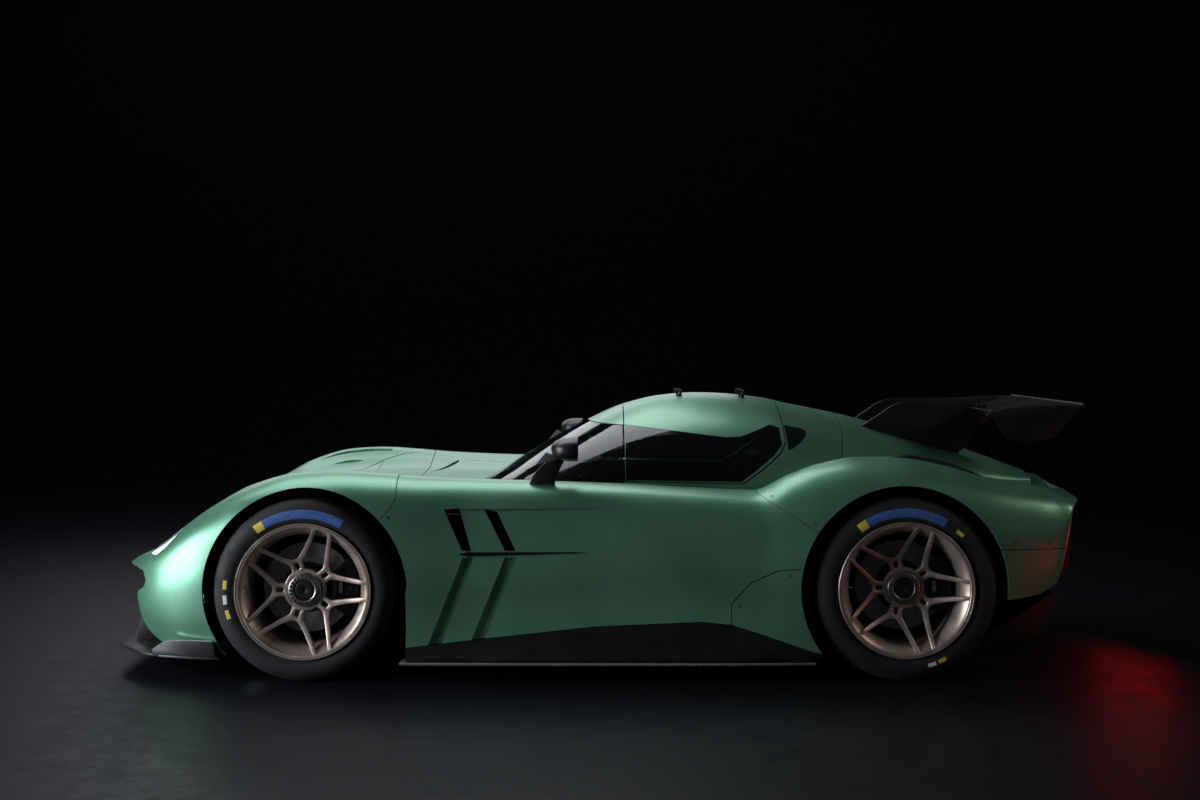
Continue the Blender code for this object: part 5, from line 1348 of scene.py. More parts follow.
def makeSideTrim():
    stops = [sill["front"] + (sill["rear"] - sill["front"]) * k / 24 for k in range(25)]
    edge = [(x, -(smoothValue(bodyRows, 2, x) - 0.0006)) for x in stops]
    outline = [(sill["front"] + 0.004, -sill["inner"]), *edge, (sill["rear"] - 0.012, -sill["inner"])]
    bothSides(plate(outline, sill["low"], sill["top"], "Z", 0.0015), "sillEdge", "edge")

    rings = []
    for k in range(31):
        x = board["front"] + (board["rear"] - board["front"]) * k / 30
        fade = min(1.0, k / 3, (30 - k) / 3)
        top = min(board["top"], levelOn(skirtEdge, x) - 0.008)
        low = board["low"]
        ring = []
        for z, out in ((low, -0.006), (low, 0.6), (low + 0.004, 1.0), (top - 0.01, 1.0), (top, 0.0),
                       (top, -0.006)):
            lift = out if out < 0 else board["proud"] * fade * out
            ring.append((x, -min(outerY(x, z) + lift, board["limit"]), z))
        rings.append(ring)
    bothSides(strand(rings), "skirtBoard", "carbon")

    # side blade in black carbon: its dark colour stands in for the shade on the blade's downward face, painted
    # shade
    rings = []
    for k in range(29):
        share = k / 28
        x = louvre["bladeFront"][0] + (louvre["bladeEnd"][0] - louvre["bladeFront"][0]) * share
        z = louvre["bladeFront"][1] + (louvre["bladeEnd"][1] - louvre["bladeFront"][1]) * share
        start = min(1.0, (0.35 + 3.0 * k) / 4) if k < 2 else 1.0
        half = start * (louvre["bladeThick"] / 2 * (1 - share) ** 0.8 + 0.0008)
        proud = start * (louvre["bladeProud"] * (1 - share) ** 0.7 + 0.0008)
        skin = outerY(x, z)
        ring = [(x, -(skin + out), z + lift * half) for out, lift in (
            (-0.02, -1.3), (proud * 0.1, -1.3), (proud * 0.95, 0.55), (proud, 0.8), (proud * 0.8, 1.0),
            (-0.02, 1.0))]
        rings.append(ring)
    bothSides(strand(rings), "sideBlade", "carbon", angle=50.0)

    tree = surfaceOf(lowerOuter())[0]
    items = []
    # the studs' heads, sunk until they stand just proud of the paint
    for x, z in fasteners:
        place, normal, _, _ = tree.ray_cast(Vector((x, -1.4, z)), Vector((0, 1, 0)))
        if place is None:
            continue
        stud = lathe([(0.0, 0.0), (0.0078, 0.0), (0.0078, 0.0012), (0.007, 0.0018), (0.0062, 0.0018),
                      (0.0058, 0.001), (0.0, 0.001)], 24)
        slot = block((-0.0045, 0.0009, -0.0006), (0.0045, 0.0015, 0.0006))
        item = together([stud, slot])
        items.append(moved(item, place - normal * 0.0011, leaning(normal)))
    bothSides(together(items), "quarterTurnFasteners", "stud")
    print("stage: side trim made")


def ovalRing(x, y, z, halfY, halfZ, square=2.6, steps=36):
    ring = []
    for k in range(steps):
        angle = 2 * pi * k / steps
        c, s = cos(angle), sin(angle)
        ring.append((x, y + halfY * copysign(abs(c) ** (2 / square), c),
                     z + halfZ * copysign(abs(s) ** (2 / square), s)))
    return ring


def makeMirrors():
    stops = ((-0.2195, 0.06), (-0.218, 0.22), (-0.212, 0.46), (-0.201, 0.68), (-0.185, 0.85), (-0.164, 0.96),
             (-0.14, 1.0), (-0.109, 1.0), (-0.106, 0.985), (-0.1055, 0.96), (-0.108, 0.935),
             (-0.125, 0.9))
    shellRings = [ovalRing(x, -0.83, 0.964 + 0.004 * (1 - s), 0.104 * s, 0.0495 * s) for x, s in stops]
    bothSides(strand(shellRings), "mirrorShell", "carbon", ("mirror",), angle=50.0)
    pane = [ovalRing(-0.1235, -0.83, 0.964, 0.0925, 0.0435), ovalRing(-0.1205, -0.83, 0.964, 0.0925, 0.0435),
            ovalRing(-0.1197, -0.83, 0.964, 0.091, 0.042)]
    bothSides(strand(pane), "mirrorGlass", "edge")
    outline = [(-0.318, 0.8), (-0.3, 0.846), (-0.268, 0.886), (-0.238, 0.912), (-0.206, 0.932),
               (-0.15, 0.934), (-0.166, 0.908), (-0.186, 0.872), (-0.2, 0.835), (-0.208, 0.8)]
    stalk = sheet(outline, [], -0.807, -0.789, 0.004)
    cut(stalk, lowerOuter(0.0003))
    bothSides(largest(stalk), "mirrorStalk", "carbon")
    winglet = sheet([(-0.284, 0.902), (-0.24, 0.953), (-0.187, 0.926), (-0.214, 0.915)], [], -0.838, -0.832,
                    0.0015)
    bothSides(winglet, "mirrorWinglet", "cast")


# Wing and fins, metres, as places (x, z).
finOutline = ((1.15, 0.94), (1.172, 1.006), (1.198, 1.024), (1.23, 1.045), (1.284, 1.081), (1.338, 1.118),
              (1.376, 1.135), (1.415, 1.144), (1.47, 1.1465), (1.62, 1.147), (1.8, 1.147), (1.788, 1.108),
              (1.771, 1.072), (1.746, 1.02), (1.717, 0.971), (1.678, 0.922), (1.651, 0.898), (1.6, 0.86))
endPlate = ((1.682, 1.096), (1.715, 1.089), (1.738, 1.052), (1.759, 1.012), (1.774, 0.996), (1.791, 0.987),
            (1.85, 0.9835), (1.908, 0.983), (1.935, 0.987), (1.959, 0.994), (1.984, 1.004), (2.003, 1.019),
            (2.024, 1.048), (2.046, 1.078), (2.066, 1.097), (2.09, 1.114), (2.119, 1.134), (2.119, 1.142),
            (1.9, 1.14), (1.8, 1.13), (1.7, 1.112))


# Rear wing, metres: its section runs from front to rear, bowed down by the sag.
wing = {"front": 1.705, "rear": 2.115, "half": 0.596, "thick": 0.03, "frontLevel": 1.115, "lift": 0.031,
        "sag": 0.035}


def wingSection(grow=0.0, steps=28):
    top, bottom = [], []
    for step in range(steps + 1):
        t = (1 - cos(pi * step / steps)) / 2
        thick = wing["thick"] * math.sqrt(t) * (1 - t) * 1.9 + 0.0015
        line = wing["frontLevel"] + wing["lift"] * t ** 1.2 - wing["sag"] * sin(pi * t)
        x = wing["front"] + (wing["rear"] - wing["front"]) * t
        top.append((x, line + 0.45 * thick + grow))
        bottom.append((x, line - 0.55 * thick - grow))
    if grow:
        return ([(wing["front"] - grow, wing["frontLevel"])] + top
                + [(wing["rear"] + grow, wing["frontLevel"] + wing["lift"])] + bottom[::-1])
    return top + bottom[::-1]


def makeWing():
    span = wing["half"]
    plane = plate(wingSection(), -span, span)
    flap = plate([(2.1095, 1.142), (2.1125, 1.1425), (2.1145, 1.1495), (2.1115, 1.1495)], -span + 0.004,
                 span - 0.004)
    finishPiece(together([plane, flap]), "wingPlane", "carbon", "body", ("rear_wing",), 40)
    bothSides(sheet(endPlate, [], -0.604, -0.5962, 0.0018), "wingEndPlate", "carbon")
    fin = sheet(finOutline, [], -0.19, -0.18, 0.0018)
    cut(fin, plate(wingSection(0.0004), -0.4, 0.1))
    cut(fin, cabinOuter(shell["gap"] / 2))
    cut(fin, lowerOuter(shell["gap"] / 2))
    bothSides(largest(fin), "wingFin", "carbon", ("fin",))
    rivets = []
    for x, z in ((1.742, 1.113), (1.765, 1.113), (1.786, 1.114)):
        rivets.append(bar((x, -0.1795, z + 0.016), (x, -0.1915, z + 0.016), 0.0045, 14))
    bothSides(together(rivets), "wingBolts", "steel")


def makeSplitter():
    notch = shell["archDepth"] - 0.03
    half = [(-2.117, -0.612), (-2.09, -0.66), (-2.04, -0.726), (-1.99, -0.79), (-1.935, -0.85),
            (-1.86, -0.893), (-1.75, -0.928), (-1.69, -0.94), (-1.628, -0.95), (-1.6, -0.95),
            (-1.6, -notch - 0.0003), (-1.6603, -notch - 0.0003)]
    plan = half + [(x, -y) for x, y in reversed(half)]
    blade = plate(plan, 0.0937, 0.1047, "Z", 0.003)
    finishPiece(blade, "splitterBlade", "carbon", "body", ("front_splitter",))
    fence = sheet([(-1.903, 0.0985), (-1.612, 0.0985), (-1.627, 0.1705), (-1.7, 0.1705), (-1.8, 0.168),
                   (-1.84, 0.1625), (-1.87, 0.148), (-1.903, 0.126)], [], -0.004, 0.004, 0.0015)
    lip = strand([[(x, y, z + dz) for y, dz in ((-0.0042, -0.001), (0.0042, -0.001), (0.0042, 0.0016),
                                                (-0.0042, 0.0016))]
                  for x, z in ((-1.9, 0.127), (-1.87, 0.148), (-1.84, 0.1625), (-1.8, 0.168), (-1.7, 0.1703),
                              (-1.63, 0.1703))])
    for item in (fence, lip):
        item.data.transform(Matrix.Translation((-1.61, -0.944, 0)) @ Matrix.Rotation(radians(-13), 4, "Z")
                            @ Matrix.Translation((1.61, 0, 0)))
    bothSides(fence, "splitterFence", "carbon")
    bothSides(lip, "splitterFenceEdge", "edge")
    line = [(-2.1135, -0.613), (-2.088, -0.657), (-2.038, -0.7225), (-1.988, -0.7865), (-1.933, -0.846),
            (-1.859, -0.889)]
    strip = together([bar((a[0], a[1], 0.0985), (b[0], b[1], 0.0985), 0.0024, 8)
                      for a, b in zip(line, line[1:])])
    bothSides(strip, "splitterEdge", "edge")
    vanes = []
    for y, lift in ((-0.56, 0.0), (-0.43, -0.004), (-0.3, -0.008)):
        outline = [(-2.06 + 0.02 * lift, 0.1044), (-1.925, 0.1044), (-1.915, 0.19), (-1.96, 0.236),
                   (-2.006, 0.266), (-2.03, 0.224), (-2.046, 0.16)]
        vanes.append(sheet(outline, [], y - 0.003, y + 0.003, 0.001))
    bothSides(together(vanes), "splitterVanes", "carbon")
    brace = together([bar((-2.07, -0.4, 0.103), (-1.985, -0.4, 0.3), 0.0045, 12)])
    bothSides(brace, "splitterStay", "edge")


def skinBand(outside, inside):
    skin = lowerOuter(outside)
    return cut(skin, lowerOuter(inside))


# Sharp upper lip of the nose, metres: half length, its run-out, how far it stands out and where it ends.
beak = {"half": 0.64, "runOut": 0.12, "proud": 0.0285, "limit": -2.1165, "levels": (0.442, 0.462, 0.486)}


def makeBeak():
    # sharp upper lip of the nose, and raised black carbon strips on the rear haunches whose dark colour stands
    # in for the shade inside vent openings: painted shade
    tree = surfaceOf(lowerOuter())[0]
    rings = []
    for k in range(57):
        y = -beak["half"] + 2 * beak["half"] * k / 56
        fade = min(1.0, (beak["half"] - abs(y)) / beak["runOut"]) ** 0.7
        hits = [tree.ray_cast(Vector((-3.0, y, z)), Vector((1, 0, 0)))[0].x for z in beak["levels"]]
        reach = max(min(hits[0] - beak["proud"] * fade, hits[0] - 0.0005), beak["limit"])
        rings.append([(hits[2] + 0.004, y, 0.486), (hits[2] - 0.001, y, 0.4866),
                      (hits[1] - 0.01 * fade, y, 0.464), (reach + 0.0015, y, 0.4425), (reach, y, 0.44),
                      (reach + 0.002, y, 0.4385), (hits[0] + 0.02, y, 0.437), (hits[0] + 0.024, y, 0.45)])
    finishPiece(strand(rings), "noseBeak", "paint", "body", (), 40)
    # raised black strip on each haunch: painted shade, its dark carbon standing for the shade in a vent's
    # opening
    rings = []
    for k in range(31):
        x = 1.236 + 0.386 * k / 30
        lift = 0.014 * min(1.0, k / 6, (30 - k) / 9) ** 0.8 + 0.0008
        (y0, z0), (y1, z1) = [(y, tree.ray_cast(Vector((x, y, 1.5)), Vector((0, 0, -1)))[0].z)
                              for y in (-0.79, -0.738)]
        rings.append([(x, y0, z0 - 0.004), (x, y0 + 0.004, z0 + lift * 0.35), (x, y0 + 0.016, z1 + lift * 0.9),
                      (x, y1 - 0.006, z1 + lift), (x, y1, z1 + lift * 0.9), (x, y1, z1 - 0.004)])
    bothSides(strand(rings), "haunchVentShadeStrip", "carbon", angle=40.0)


def makeMouth():
    slats = [block((-1.948, y - 0.0015, 0.3), (-1.93, y + 0.0015, 0.452))
             for y in [-0.63 + 0.018 * k for k in range(71)]]
    rows = [block((-1.944, -0.64, z - 0.0015), (-1.934, 0.64, z + 0.0015)) for z in (0.33, 0.362, 0.394, 0.426)]
    finishPiece(together(slats), "mouthGrilleUpright", "plastic", "body", (), 30, False)
    finishPiece(together(rows), "mouthGrilleCross", "plastic", "body", (), 30, False)
    back = block((-1.926, -0.7, 0.215), (-1.92, 0.7, 0.48), 0.001, 1)
    clip(back, lowerOuter(-0.023))
    finishPiece(back, "mouthLiner", "liner", "body", (), 30)


def makeLamps():
    lens = skinBand(-0.0002, -0.0034)
    clip(lens, lampPrism(-1, 0.0014))
    bothSides(largest(lens), "headlampLens", "lens", ("headlamp",), angle=40.0)
    tray = skinBand(-0.0036, -0.04)
    clip(tray, lampPrism(-1, 0.0014))
    room = skinBand(0.005, -0.036)
    clip(room, lampPrism(-1, 0.0044))
    cut(tray, largest(room))
    bothSides(largest(tray), "headlampTray", "plastic")
    strip = skinBand(-0.006, -0.013)
    edge = [(-1.972, -0.666), (-1.91, -0.776), (-1.86, -0.8), (-1.812, -0.785), (-1.826, -0.756),
            (-1.89, -0.726), (-1.95, -0.656)]
    clip(strip, plate(edge, 0.4, 0.8, "Z"))
    clip(strip, lampPrism(-1, 0.006))
    bothSides(largest(strip), "headlampStrip", "lampLight")
    units = []
    tree = surfaceOf(lowerOuter(-0.036))[0]
    for x, y in ((-1.934, -0.672), (-1.893, -0.706), (-1.852, -0.738)):
        place = tree.ray_cast(Vector((x, y, 1.0)), Vector((0, 0, -1)))[0]
        unit = lathe([(0.0, 0.0), (0.0125, 0.0), (0.013, 0.014), (0.0118, 0.0155), (0.0105, 0.013),
                      (0.006, 0.017), (0.0, 0.018)], 28)
        lean = Vector((-0.75, -0.15, 0.65)).normalized()
        units.append(moved(unit, place, leaning(lean)))
    bothSides(together(units), "headlampUnits", "edge")

    rear = skinBand(0.0012, -0.004)
    join(rear, plate([(-0.795, 0.664), (-0.44, 0.664), (-0.44, 0.682), (-0.8, 0.69)], 1.9, 2.2, "X"),
         "INTERSECT")
    bothSides(largest(rear), "tailLamp", "redLens")


def alongX(item):
    # turned parts made about Y laid along X
    item.data.transform(Matrix.Rotation(-pi / 2, 4, "Z"))
    return item


# Tail, metres: the grille's half widths and heights at its foot and top, its bars' pitch, and the exhausts.
tail = {"grilleLow": (0.5597, 0.3853), "grilleTop": (0.5997, 0.5297), "pitch": 0.0165, "pipeY": 0.14,
        "pipeZ": 0.4575, "pipeRoom": 0.0453}


def makeTail():
    (lowHalf, low), (topHalf, top) = tail["grilleLow"], tail["grilleTop"]
    outline = [(-lowHalf, low), (lowHalf, low), (topHalf, top), (-topHalf, top)]
    for title, near, far in (("Upright", 0.003, 0.013), ("Cross", 0.005, 0.011), ("Back", 0.026, 0.03)):
        band = cut(moved(lowerOuter(), (-near, 0, 0)), moved(lowerOuter(), (-far, 0, 0)))
        clip(band, plate(outline, 1.8, 2.2, "X"))
        if title == "Upright":
            bars = [block((1.7, y - 0.0014, 0.3), (2.3, y + 0.0014, 0.6))
                    for y in [-0.594 + tail["pitch"] * k for k in range(73)]]
            clip(band, together(bars))
        if title == "Cross":
            bars = [block((1.7, -0.7, z - 0.0014), (2.3, 0.7, z + 0.0014))
                    for z in [0.398 + tail["pitch"] * k for k in range(8)]]
            clip(band, together(bars))
        for side in (-1, 1):
            y, z = side * tail["pipeY"], tail["pipeZ"]
            cut(band, bar((1.5, y, z), (2.3, y, z), tail["pipeRoom"], 32))
        finishPiece(band, "tailGrille" + title, "liner" if title == "Back" else "plastic", "body",
                    ("rear_grille",) if title == "Upright" else (), 30)
    pipe = [(0.041, 1.74), (0.045, 1.74), (0.045, 1.979), (0.0448, 1.9835), (0.0432, 1.985), (0.0414, 1.9835),
            (0.041, 1.979)]
    pipes = []
    for side in (-1, 1):
        for item in (lathe(pipe, 56), drum(0.0408, 1.8, 1.803)):
            pipes.append(moved(alongX(item), (0, side * tail["pipeY"], tail["pipeZ"])))
    pipes.append(block((1.6203, -0.26, 0.4), (1.7405, 0.26, 0.54), 0.028, 4))
    finishPiece(together(pipes), "exhaustPipes", "titanium", "body", ("exhaust",))

    ramp = [(1.5603, 0.092), (1.5603, 0.104), (1.93, 0.345), (1.942, 0.336)]
    floor = plate(ramp, -0.779, 0.779)
    wall = [(1.5603, 0.092), (1.64, 0.092), (1.75, 0.108), (1.863, 0.142), (1.88, 0.176), (1.938, 0.342),
            (1.937, 0.35), (1.925, 0.353), (1.5603, 0.118)]
    walls = [sheet(wall, [], y - 0.004, y + 0.004, 0.0014) for y in (-0.784, -0.42, -0.15, 0.15, 0.42, 0.784)]
    for item in [floor, *walls]:
        for side in (-1, 1):
            cut(item, plate(rearArch(), *span(side, 0.2, 1.0)))
    finishPiece(together([floor, *walls]), "diffuserFloor", "carbon", "body", ("diffuser",))
    tailFin = sheet([(1.89, 0.405), (1.938, 0.405), (1.974, 0.5), (1.985, 0.585), (1.977, 0.602),
                     (1.94, 0.6)], [], -0.842, -0.836, 0.0015)
    bothSides(tailFin, "tailFin", "carbon")


# Door hinges, metres: the axis (height and distance from the centre), lug, pin, and places along X.
hinge = {"height": 1.187, "axisY": 0.105, "radius": 0.007, "pin": 0.004, "lug": 0.009, "places": (0.36, 0.655)}


def makeHinges():
    height, axisY, radius, pin, lug, places = hinge.values()
    head = [(-(axisY + radius * cos(a)), height + radius * sin(a))
            for a in [radians(180 * k / 12) for k in range(13)]]
    roofFoot = [(-0.07, height - 0.03), (-0.096, height - 0.03), (-0.099, height - 0.006),
                (-(axisY + radius * 0.9), height - 0.004)]
    doorFoot = [(-(axisY - radius * 0.9), height - 0.004), (-0.109, height - 0.033), (-0.135, height - 0.036),
                (-0.127, height - 0.012)]
    roofLugs, doorLugs = [], []
    for x in places:
        for way in (-1, 1):
            middle = x + way * (lug + 0.0003)
            item = plate(head[::-1] + roofFoot[::-1], middle - lug / 2, middle + lug / 2, "X")
            bore = alongX(drum(pin + 0.0004, middle - lug, middle + lug))
            roofLugs.append(cut(item, moved(bore, (0, -axisY, height))))
        doorLugs.append(plate(head + doorFoot, x - lug / 2, x + lug / 2, "X"))
        rod = alongX(drum(pin, x - lug * 1.4, x + lug * 1.4))
        doorLugs.append(moved(rod, (0, -axisY, height)))
    bothSides(together(roofLugs), "roofHinge", "caliper")
    bothSides(together(doorLugs), "doorHinge", "caliper", (), ("door_left", "door_right"))
    print("stage: wing, nose, tail and hinges made")


# Cabin, metres. Pads: centre line start and end (x, z), centre y, half width, thickness, fill.
cabin = {
    "seatPlace": 0.28125, "seatHalf": 0.23625, "bolster": 0.045, "padGap": 0.002, "hoop": 0.019,
    "wheelCentre": (0.055, -0.28125, 0.7), "wheelLean": -18.0, "wheelRadius": 0.15,
}
seatPads = (
    ("Thigh", (0.13, 0.2435), (0.285, 0.2275), 0.0, 0.134, 0.034, 0.75),
    ("Base", (0.289, 0.227), (0.462, 0.2085), 0.0, 0.134, 0.03, 0.75),
    ("Lumbar", (0.508, 0.287), (0.585, 0.494), 0.0, 0.134, 0.03, 0.7),
    ("Back", (0.587, 0.499), (0.662, 0.7), 0.0, 0.134, 0.028, 0.7),
    ("Head", (0.672, 0.726), (0.722, 0.86), 0.0, 0.092, 0.036, 0.85),
)


def cushion(start, end, y, half, thick, steps=30):
    # stuffed pad on a slanted face: crowned, with a welt round its edge and two stitched channels
    start, end = Vector((start[0], 0, start[1])), Vector((end[0], 0, end[1]))
    along = end - start
    length = along.length / 2
    along.normalize()
    across = Vector((0, 1, 0))
    up = along.cross(across)
    if up.z < 0 or (abs(along.z) > abs(along.x) and up.x > 0):
        up = -up
    middle = (start + end) / 2 + across * y
    shape = bmesh.new()

    def point(u, v, top):
        edgeU, edgeV = abs(u) ** 5, abs(v) ** 5
        fall = max(1 - (edgeU ** 1.6 + edgeV ** 1.6) ** 0.5, 0.0)
        crown = thick * (0.35 * fall ** 0.35 + 0.65 * fall ** 0.8 * (1 - 0.25 * (u * u + v * v)))
        stitch = sum(exp(-((v - place) / 0.045) ** 2) for place in (-0.36, 0.36))
        welt = 0.0022 * exp(-((max(abs(u), abs(v)) - 0.93) / 0.035) ** 2)
        lift = crown - 0.005 * stitch * fall + welt if top else 0.0
        bulge = 1 - 0.06 * abs(u) ** 6, 1 - 0.06 * abs(v) ** 6
        return middle + along * (u * length * bulge[1]) + across * (v * half * bulge[0]) + up * lift

    grids = []
    for top in (True, False):
        grids.append([[shape.verts.new(point(-1 + 2 * i / steps, -1 + 2 * j / steps, top))
                       for j in range(steps + 1)] for i in range(steps + 1)])
    for grid in grids:
        for i in range(steps):
            for j in range(steps):
                shape.faces.new((grid[i][j], grid[i + 1][j], grid[i + 1][j + 1], grid[i][j + 1]))
    top, bottom = grids
    for i in range(steps):
        for j in (0, steps):
            shape.faces.new((top[i][j], top[i + 1][j], bottom[i + 1][j], bottom[i][j]))
            shape.faces.new((top[j][i], top[j][i + 1], bottom[j][i + 1], bottom[j][i]))
    bmesh.ops.remove_doubles(shape, verts=shape.verts, dist=0.00002)
    bmesh.ops.recalc_face_normals(shape, faces=shape.faces)
    return made(shape)


def makeSeats():
    base = 0.1353
    side = [(0.1, base), (0.64, base), (0.69, 0.32), (0.74, 0.5), (0.79, 0.68), (0.83, 0.815),
            (0.822, 0.85), (0.79, 0.875), (0.75, 0.876), (0.72, 0.866), (0.69, 0.78), (0.64, 0.62),
            (0.6, 0.51), (0.565, 0.45), (0.5, 0.412), (0.4, 0.38), (0.3, 0.356), (0.18, 0.338),
            (0.12, 0.328), (0.102, 0.312)]
    hollow = [(0.02, 0.2495), (0.3, 0.2215), (0.45, 0.2085), (0.472, 0.213), (0.487, 0.228), (0.6, 0.532),
              (0.745, 0.92), (0.3, 1.2), (0.0, 1.0)]
    place, half = cabin["seatPlace"], cabin["seatHalf"]
    bucket = sheet(side, [], -(place + half), -(place - half), 0.008)
    narrow = half - cabin["bolster"]
    cut(bucket, plate(hollow, -(place + narrow), -(place - narrow)))
    bothSides(bucket, "seatShell", "carbon", ("seat",))
    for title, start, end, shift, wide, thick, fill in seatPads:
        pad = cushion(start, end, -(place + shift), wide, thick)
        for piece in bothSides(pad, "seat" + title + "Pad", "fabric", angle=60.0):
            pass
    for title, way in (("Outer", 1), ("Inner", -1)):
        for part, start, end in (("Hip", (0.17, 0.337), (0.48, 0.403)), ("Rib", (0.588, 0.5), (0.7, 0.806))):
            pad = cushion(start, end, -(place + way * (half - cabin["bolster"] / 2)), 0.0205, 0.016, 16)
            for piece in bothSides(pad, "seat" + part + title + "Pad", "fabric", angle=60.0):
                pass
    belts = []
    for shift in (-0.075, 0.075):
        rings = []
        for x, z in ((0.73, 0.8), (0.7, 0.772), (0.655, 0.69), (0.6, 0.545), (0.56, 0.43), (0.52, 0.335)):
            y = -(place + shift * (1.0 if z > 0.5 else 0.55))
            rings.append([(x - 0.041, y - 0.022, z + 0.014), (x - 0.041, y + 0.022, z + 0.014),
                          (x - 0.043, y + 0.022, z + 0.016), (x - 0.043, y - 0.022, z + 0.016)])
        belts.append(strand(rings))
    bothSides(together(belts), "seatHarness", "webbing")
    print("stage: seats made")


def makeDashboard():
    outline = [(-0.33, 0.5603), (-0.075, 0.5603), (-0.062, 0.6), (-0.06, 0.64), (-0.072, 0.69),
               (-0.088, 0.725), (-0.104, 0.748), (-0.14, 0.766), (-0.2, 0.775), (-0.27, 0.766),
               (-0.33, 0.75)]
    dash = sheet(outline, [], -0.57, 0.57, 0.01)
    x, y, z = cabin["wheelCentre"]
    lean = Matrix.Rotation(radians(cabin["wheelLean"]), 4, "Y")
    away = lean @ Vector((-1, 0, 0))
    start = Vector((x, y, z)) + away * 0.0163
    column = bar(start, start + away * 0.2, 0.02, 28)
    finishPiece(together([dash, column]), "dashboardPanel", "plastic", "body", ("dashboard",))
    # hooded display, switch panel and air vents
    hood = sheet([(-0.15, 0.752), (-0.066, 0.752), (-0.06, 0.772), (-0.07, 0.8), (-0.095, 0.812),
                  (-0.135, 0.8)], [], y - 0.12, y + 0.12, 0.005)
    finishPiece(hood, "displayHood", "carbon", "body")
    screen = block((-0.0635, y - 0.105, 0.758), (-0.059, y + 0.105, 0.798), 0.001, 1)
    finishPiece(screen, "displayScreen", "darkGlass", "body")
    parts = []
    for row in range(2):
        for column in range(7):
            x, side, level = -0.059 - 0.004 * row, -0.075 + 0.025 * column, 0.64 - 0.034 * row
            parts.append(bar((x - 0.006, side, level), (x + 0.012, side, level), 0.006, 16))
    finishPiece(together(parts), "dashSwitches", "steel", "body", (), 40)
    vents = []
    for centre in (-0.5, 0.33, 0.5):
        ring = alongX(lathe([(0.022, -0.018), (0.031, -0.018), (0.031, 0.002), (0.028, 0.005), (0.024, 0.004),
                             (0.022, 0.0)], 36))
        slats = [block((-0.012, -0.021, -0.0008 + h), (0.0, 0.021, 0.0008 + h)) for h in (-0.01, 0.0, 0.01)]
        vent = together([ring, *slats])
        vents.append(moved(vent, (-0.072, centre, 0.69), Matrix.Rotation(radians(-14), 4, "Y")))
    finishPiece(together(vents), "dashVents", "caliper", "body", (), 40)
    print("stage: dashboard made")


def makeSteeringWheel():
    x, y, z = cabin["wheelCentre"]
    radius = cabin["wheelRadius"]
    rings = []
    steps = 96
    for k in range(steps):
        turn = 2 * pi * k / steps
        c, s = cos(turn), sin(turn)
        grip = 0.013 + 0.0018 * exp(-((abs(c) - 0.85) / 0.16) ** 2)
        rings.append([(grip * sin(a), (radius + grip * cos(a)) * c, 0.86 * (radius + grip * cos(a)) * s)
                      for a in [2 * pi * j / 16 for j in range(16)]])
    shape = bmesh.new()
    rows = [[shape.verts.new(point) for point in ring] for ring in rings]
    skinRings(shape, rows + rows[:1])
    bmesh.ops.recalc_face_normals(shape, faces=shape.faces)
    grip = made(shape)
    spokes = [block((-0.0075, -radius, -0.04), (0.0065, radius, 0.026), 0.003, 2),
              block((-0.0155, -0.056, -0.05), (0.012, 0.056, 0.04), 0.006, 3)]
    knobs = []
    for across in (-0.11, -0.082, 0.082, 0.11):
        for height in (-0.022, 0.01):
            knob = lathe([(0.0, 0.004), (0.0075, 0.004), (0.0075, 0.0105), (0.0065, 0.012), (0.0, 0.012)], 20)
            knobs.append(moved(alongX(knob), (0, across, height)))
    place = Matrix.Translation((x, y, z)) @ Matrix.Rotation(radians(cabin["wheelLean"]), 4, "Y")
    for item, title, look, nodes in ((grip, "wheelGrip", "fabric", ("steering_wheel",)),
                                     (together(spokes), "wheelSpokes", "carbon", ()),
                                     (together(knobs), "wheelKnobs", "redLens", ())):
        item.data.transform(place)
        finishPiece(item, title, look, "steering_wheel", nodes, 40)


def pipeRun(points, radius, sides=14):
    rings = []
    for i, point in enumerate(points):
        before, after = Vector(points[max(i - 1, 0)]), Vector(points[min(i + 1, len(points) - 1)])
        run = (after - before).normalized()
        side = run.cross(Vector((0, 0, 1)) if abs(run.z) < 0.9 else Vector((1, 0, 0))).normalized()
        rise = side.cross(run)
        rings.append([Vector(point) + side * (radius * cos(a)) + rise * (radius * sin(a))
                      for a in [2 * pi * k / sides for k in range(sides)]])
    return strand(rings)


def underSkin(x, share, gap=0.052):
    # place inside the canopy: share 0 at the belt line, 1 at the centre line
    line = [(y, z) for y, z in cabinHalf(x, 48) if z > 0.7]
    where = min(max(share, 0.0), 1.0) * (len(line) - 1.001)
    k = int(where)
    (y0, z0), (y1, z1) = line[k], line[k + 1]
    dy, dz = y1 - y0, z1 - z0
    size = hypot(dy, dz)
    return x, -(y0 + dy * (where - k) - dz / size * gap), z0 + dz * (where - k) + dy / size * gap


def makeCage():
    # roll cage under the roof: main hoop, side rails, a cross tube and a diagonal
    radius = cabin["hoop"]
    main = [(0.87, -0.545, 0.565)] + [underSkin(0.87, k / 12) for k in range(1, 13)]
    main[-1] = (0.87, 0.0, main[-1][2])
    main += [(x, -y, z) for x, y, z in reversed(main[:-1])]
    rail = [(-0.3, -0.54, 0.565)] + [underSkin(x, share, 0.06) for x, share in (
        (-0.24, 0.08), (-0.14, 0.26), (-0.02, 0.42), (0.12, 0.5), (0.28, 0.52), (0.44, 0.52), (0.6, 0.52),
        (0.74, 0.52), (0.866, 0.52))]
    cross = [underSkin(0.11, share, 0.06) for share in (0.5, 0.75, 1.0)]
    cross[-1] = (0.11, 0.0, cross[-1][2])
    cross += [(x, -y, z) for x, y, z in reversed(cross[:-1])]
    diagonal = [(0.87, -0.54, 0.6), (0.87, -0.05, 0.82), (0.87, 0.38, 1.0)]
    items = [pipeRun(main, radius), pipeRun(rail, radius), pipeRun([(x, -y, z) for x, y, z in rail], radius),
             pipeRun(cross, radius * 0.8), pipeRun(diagonal, radius * 0.8)]
    finishPiece(together(items), "rollCage", "cageTube", "body", (), 50)


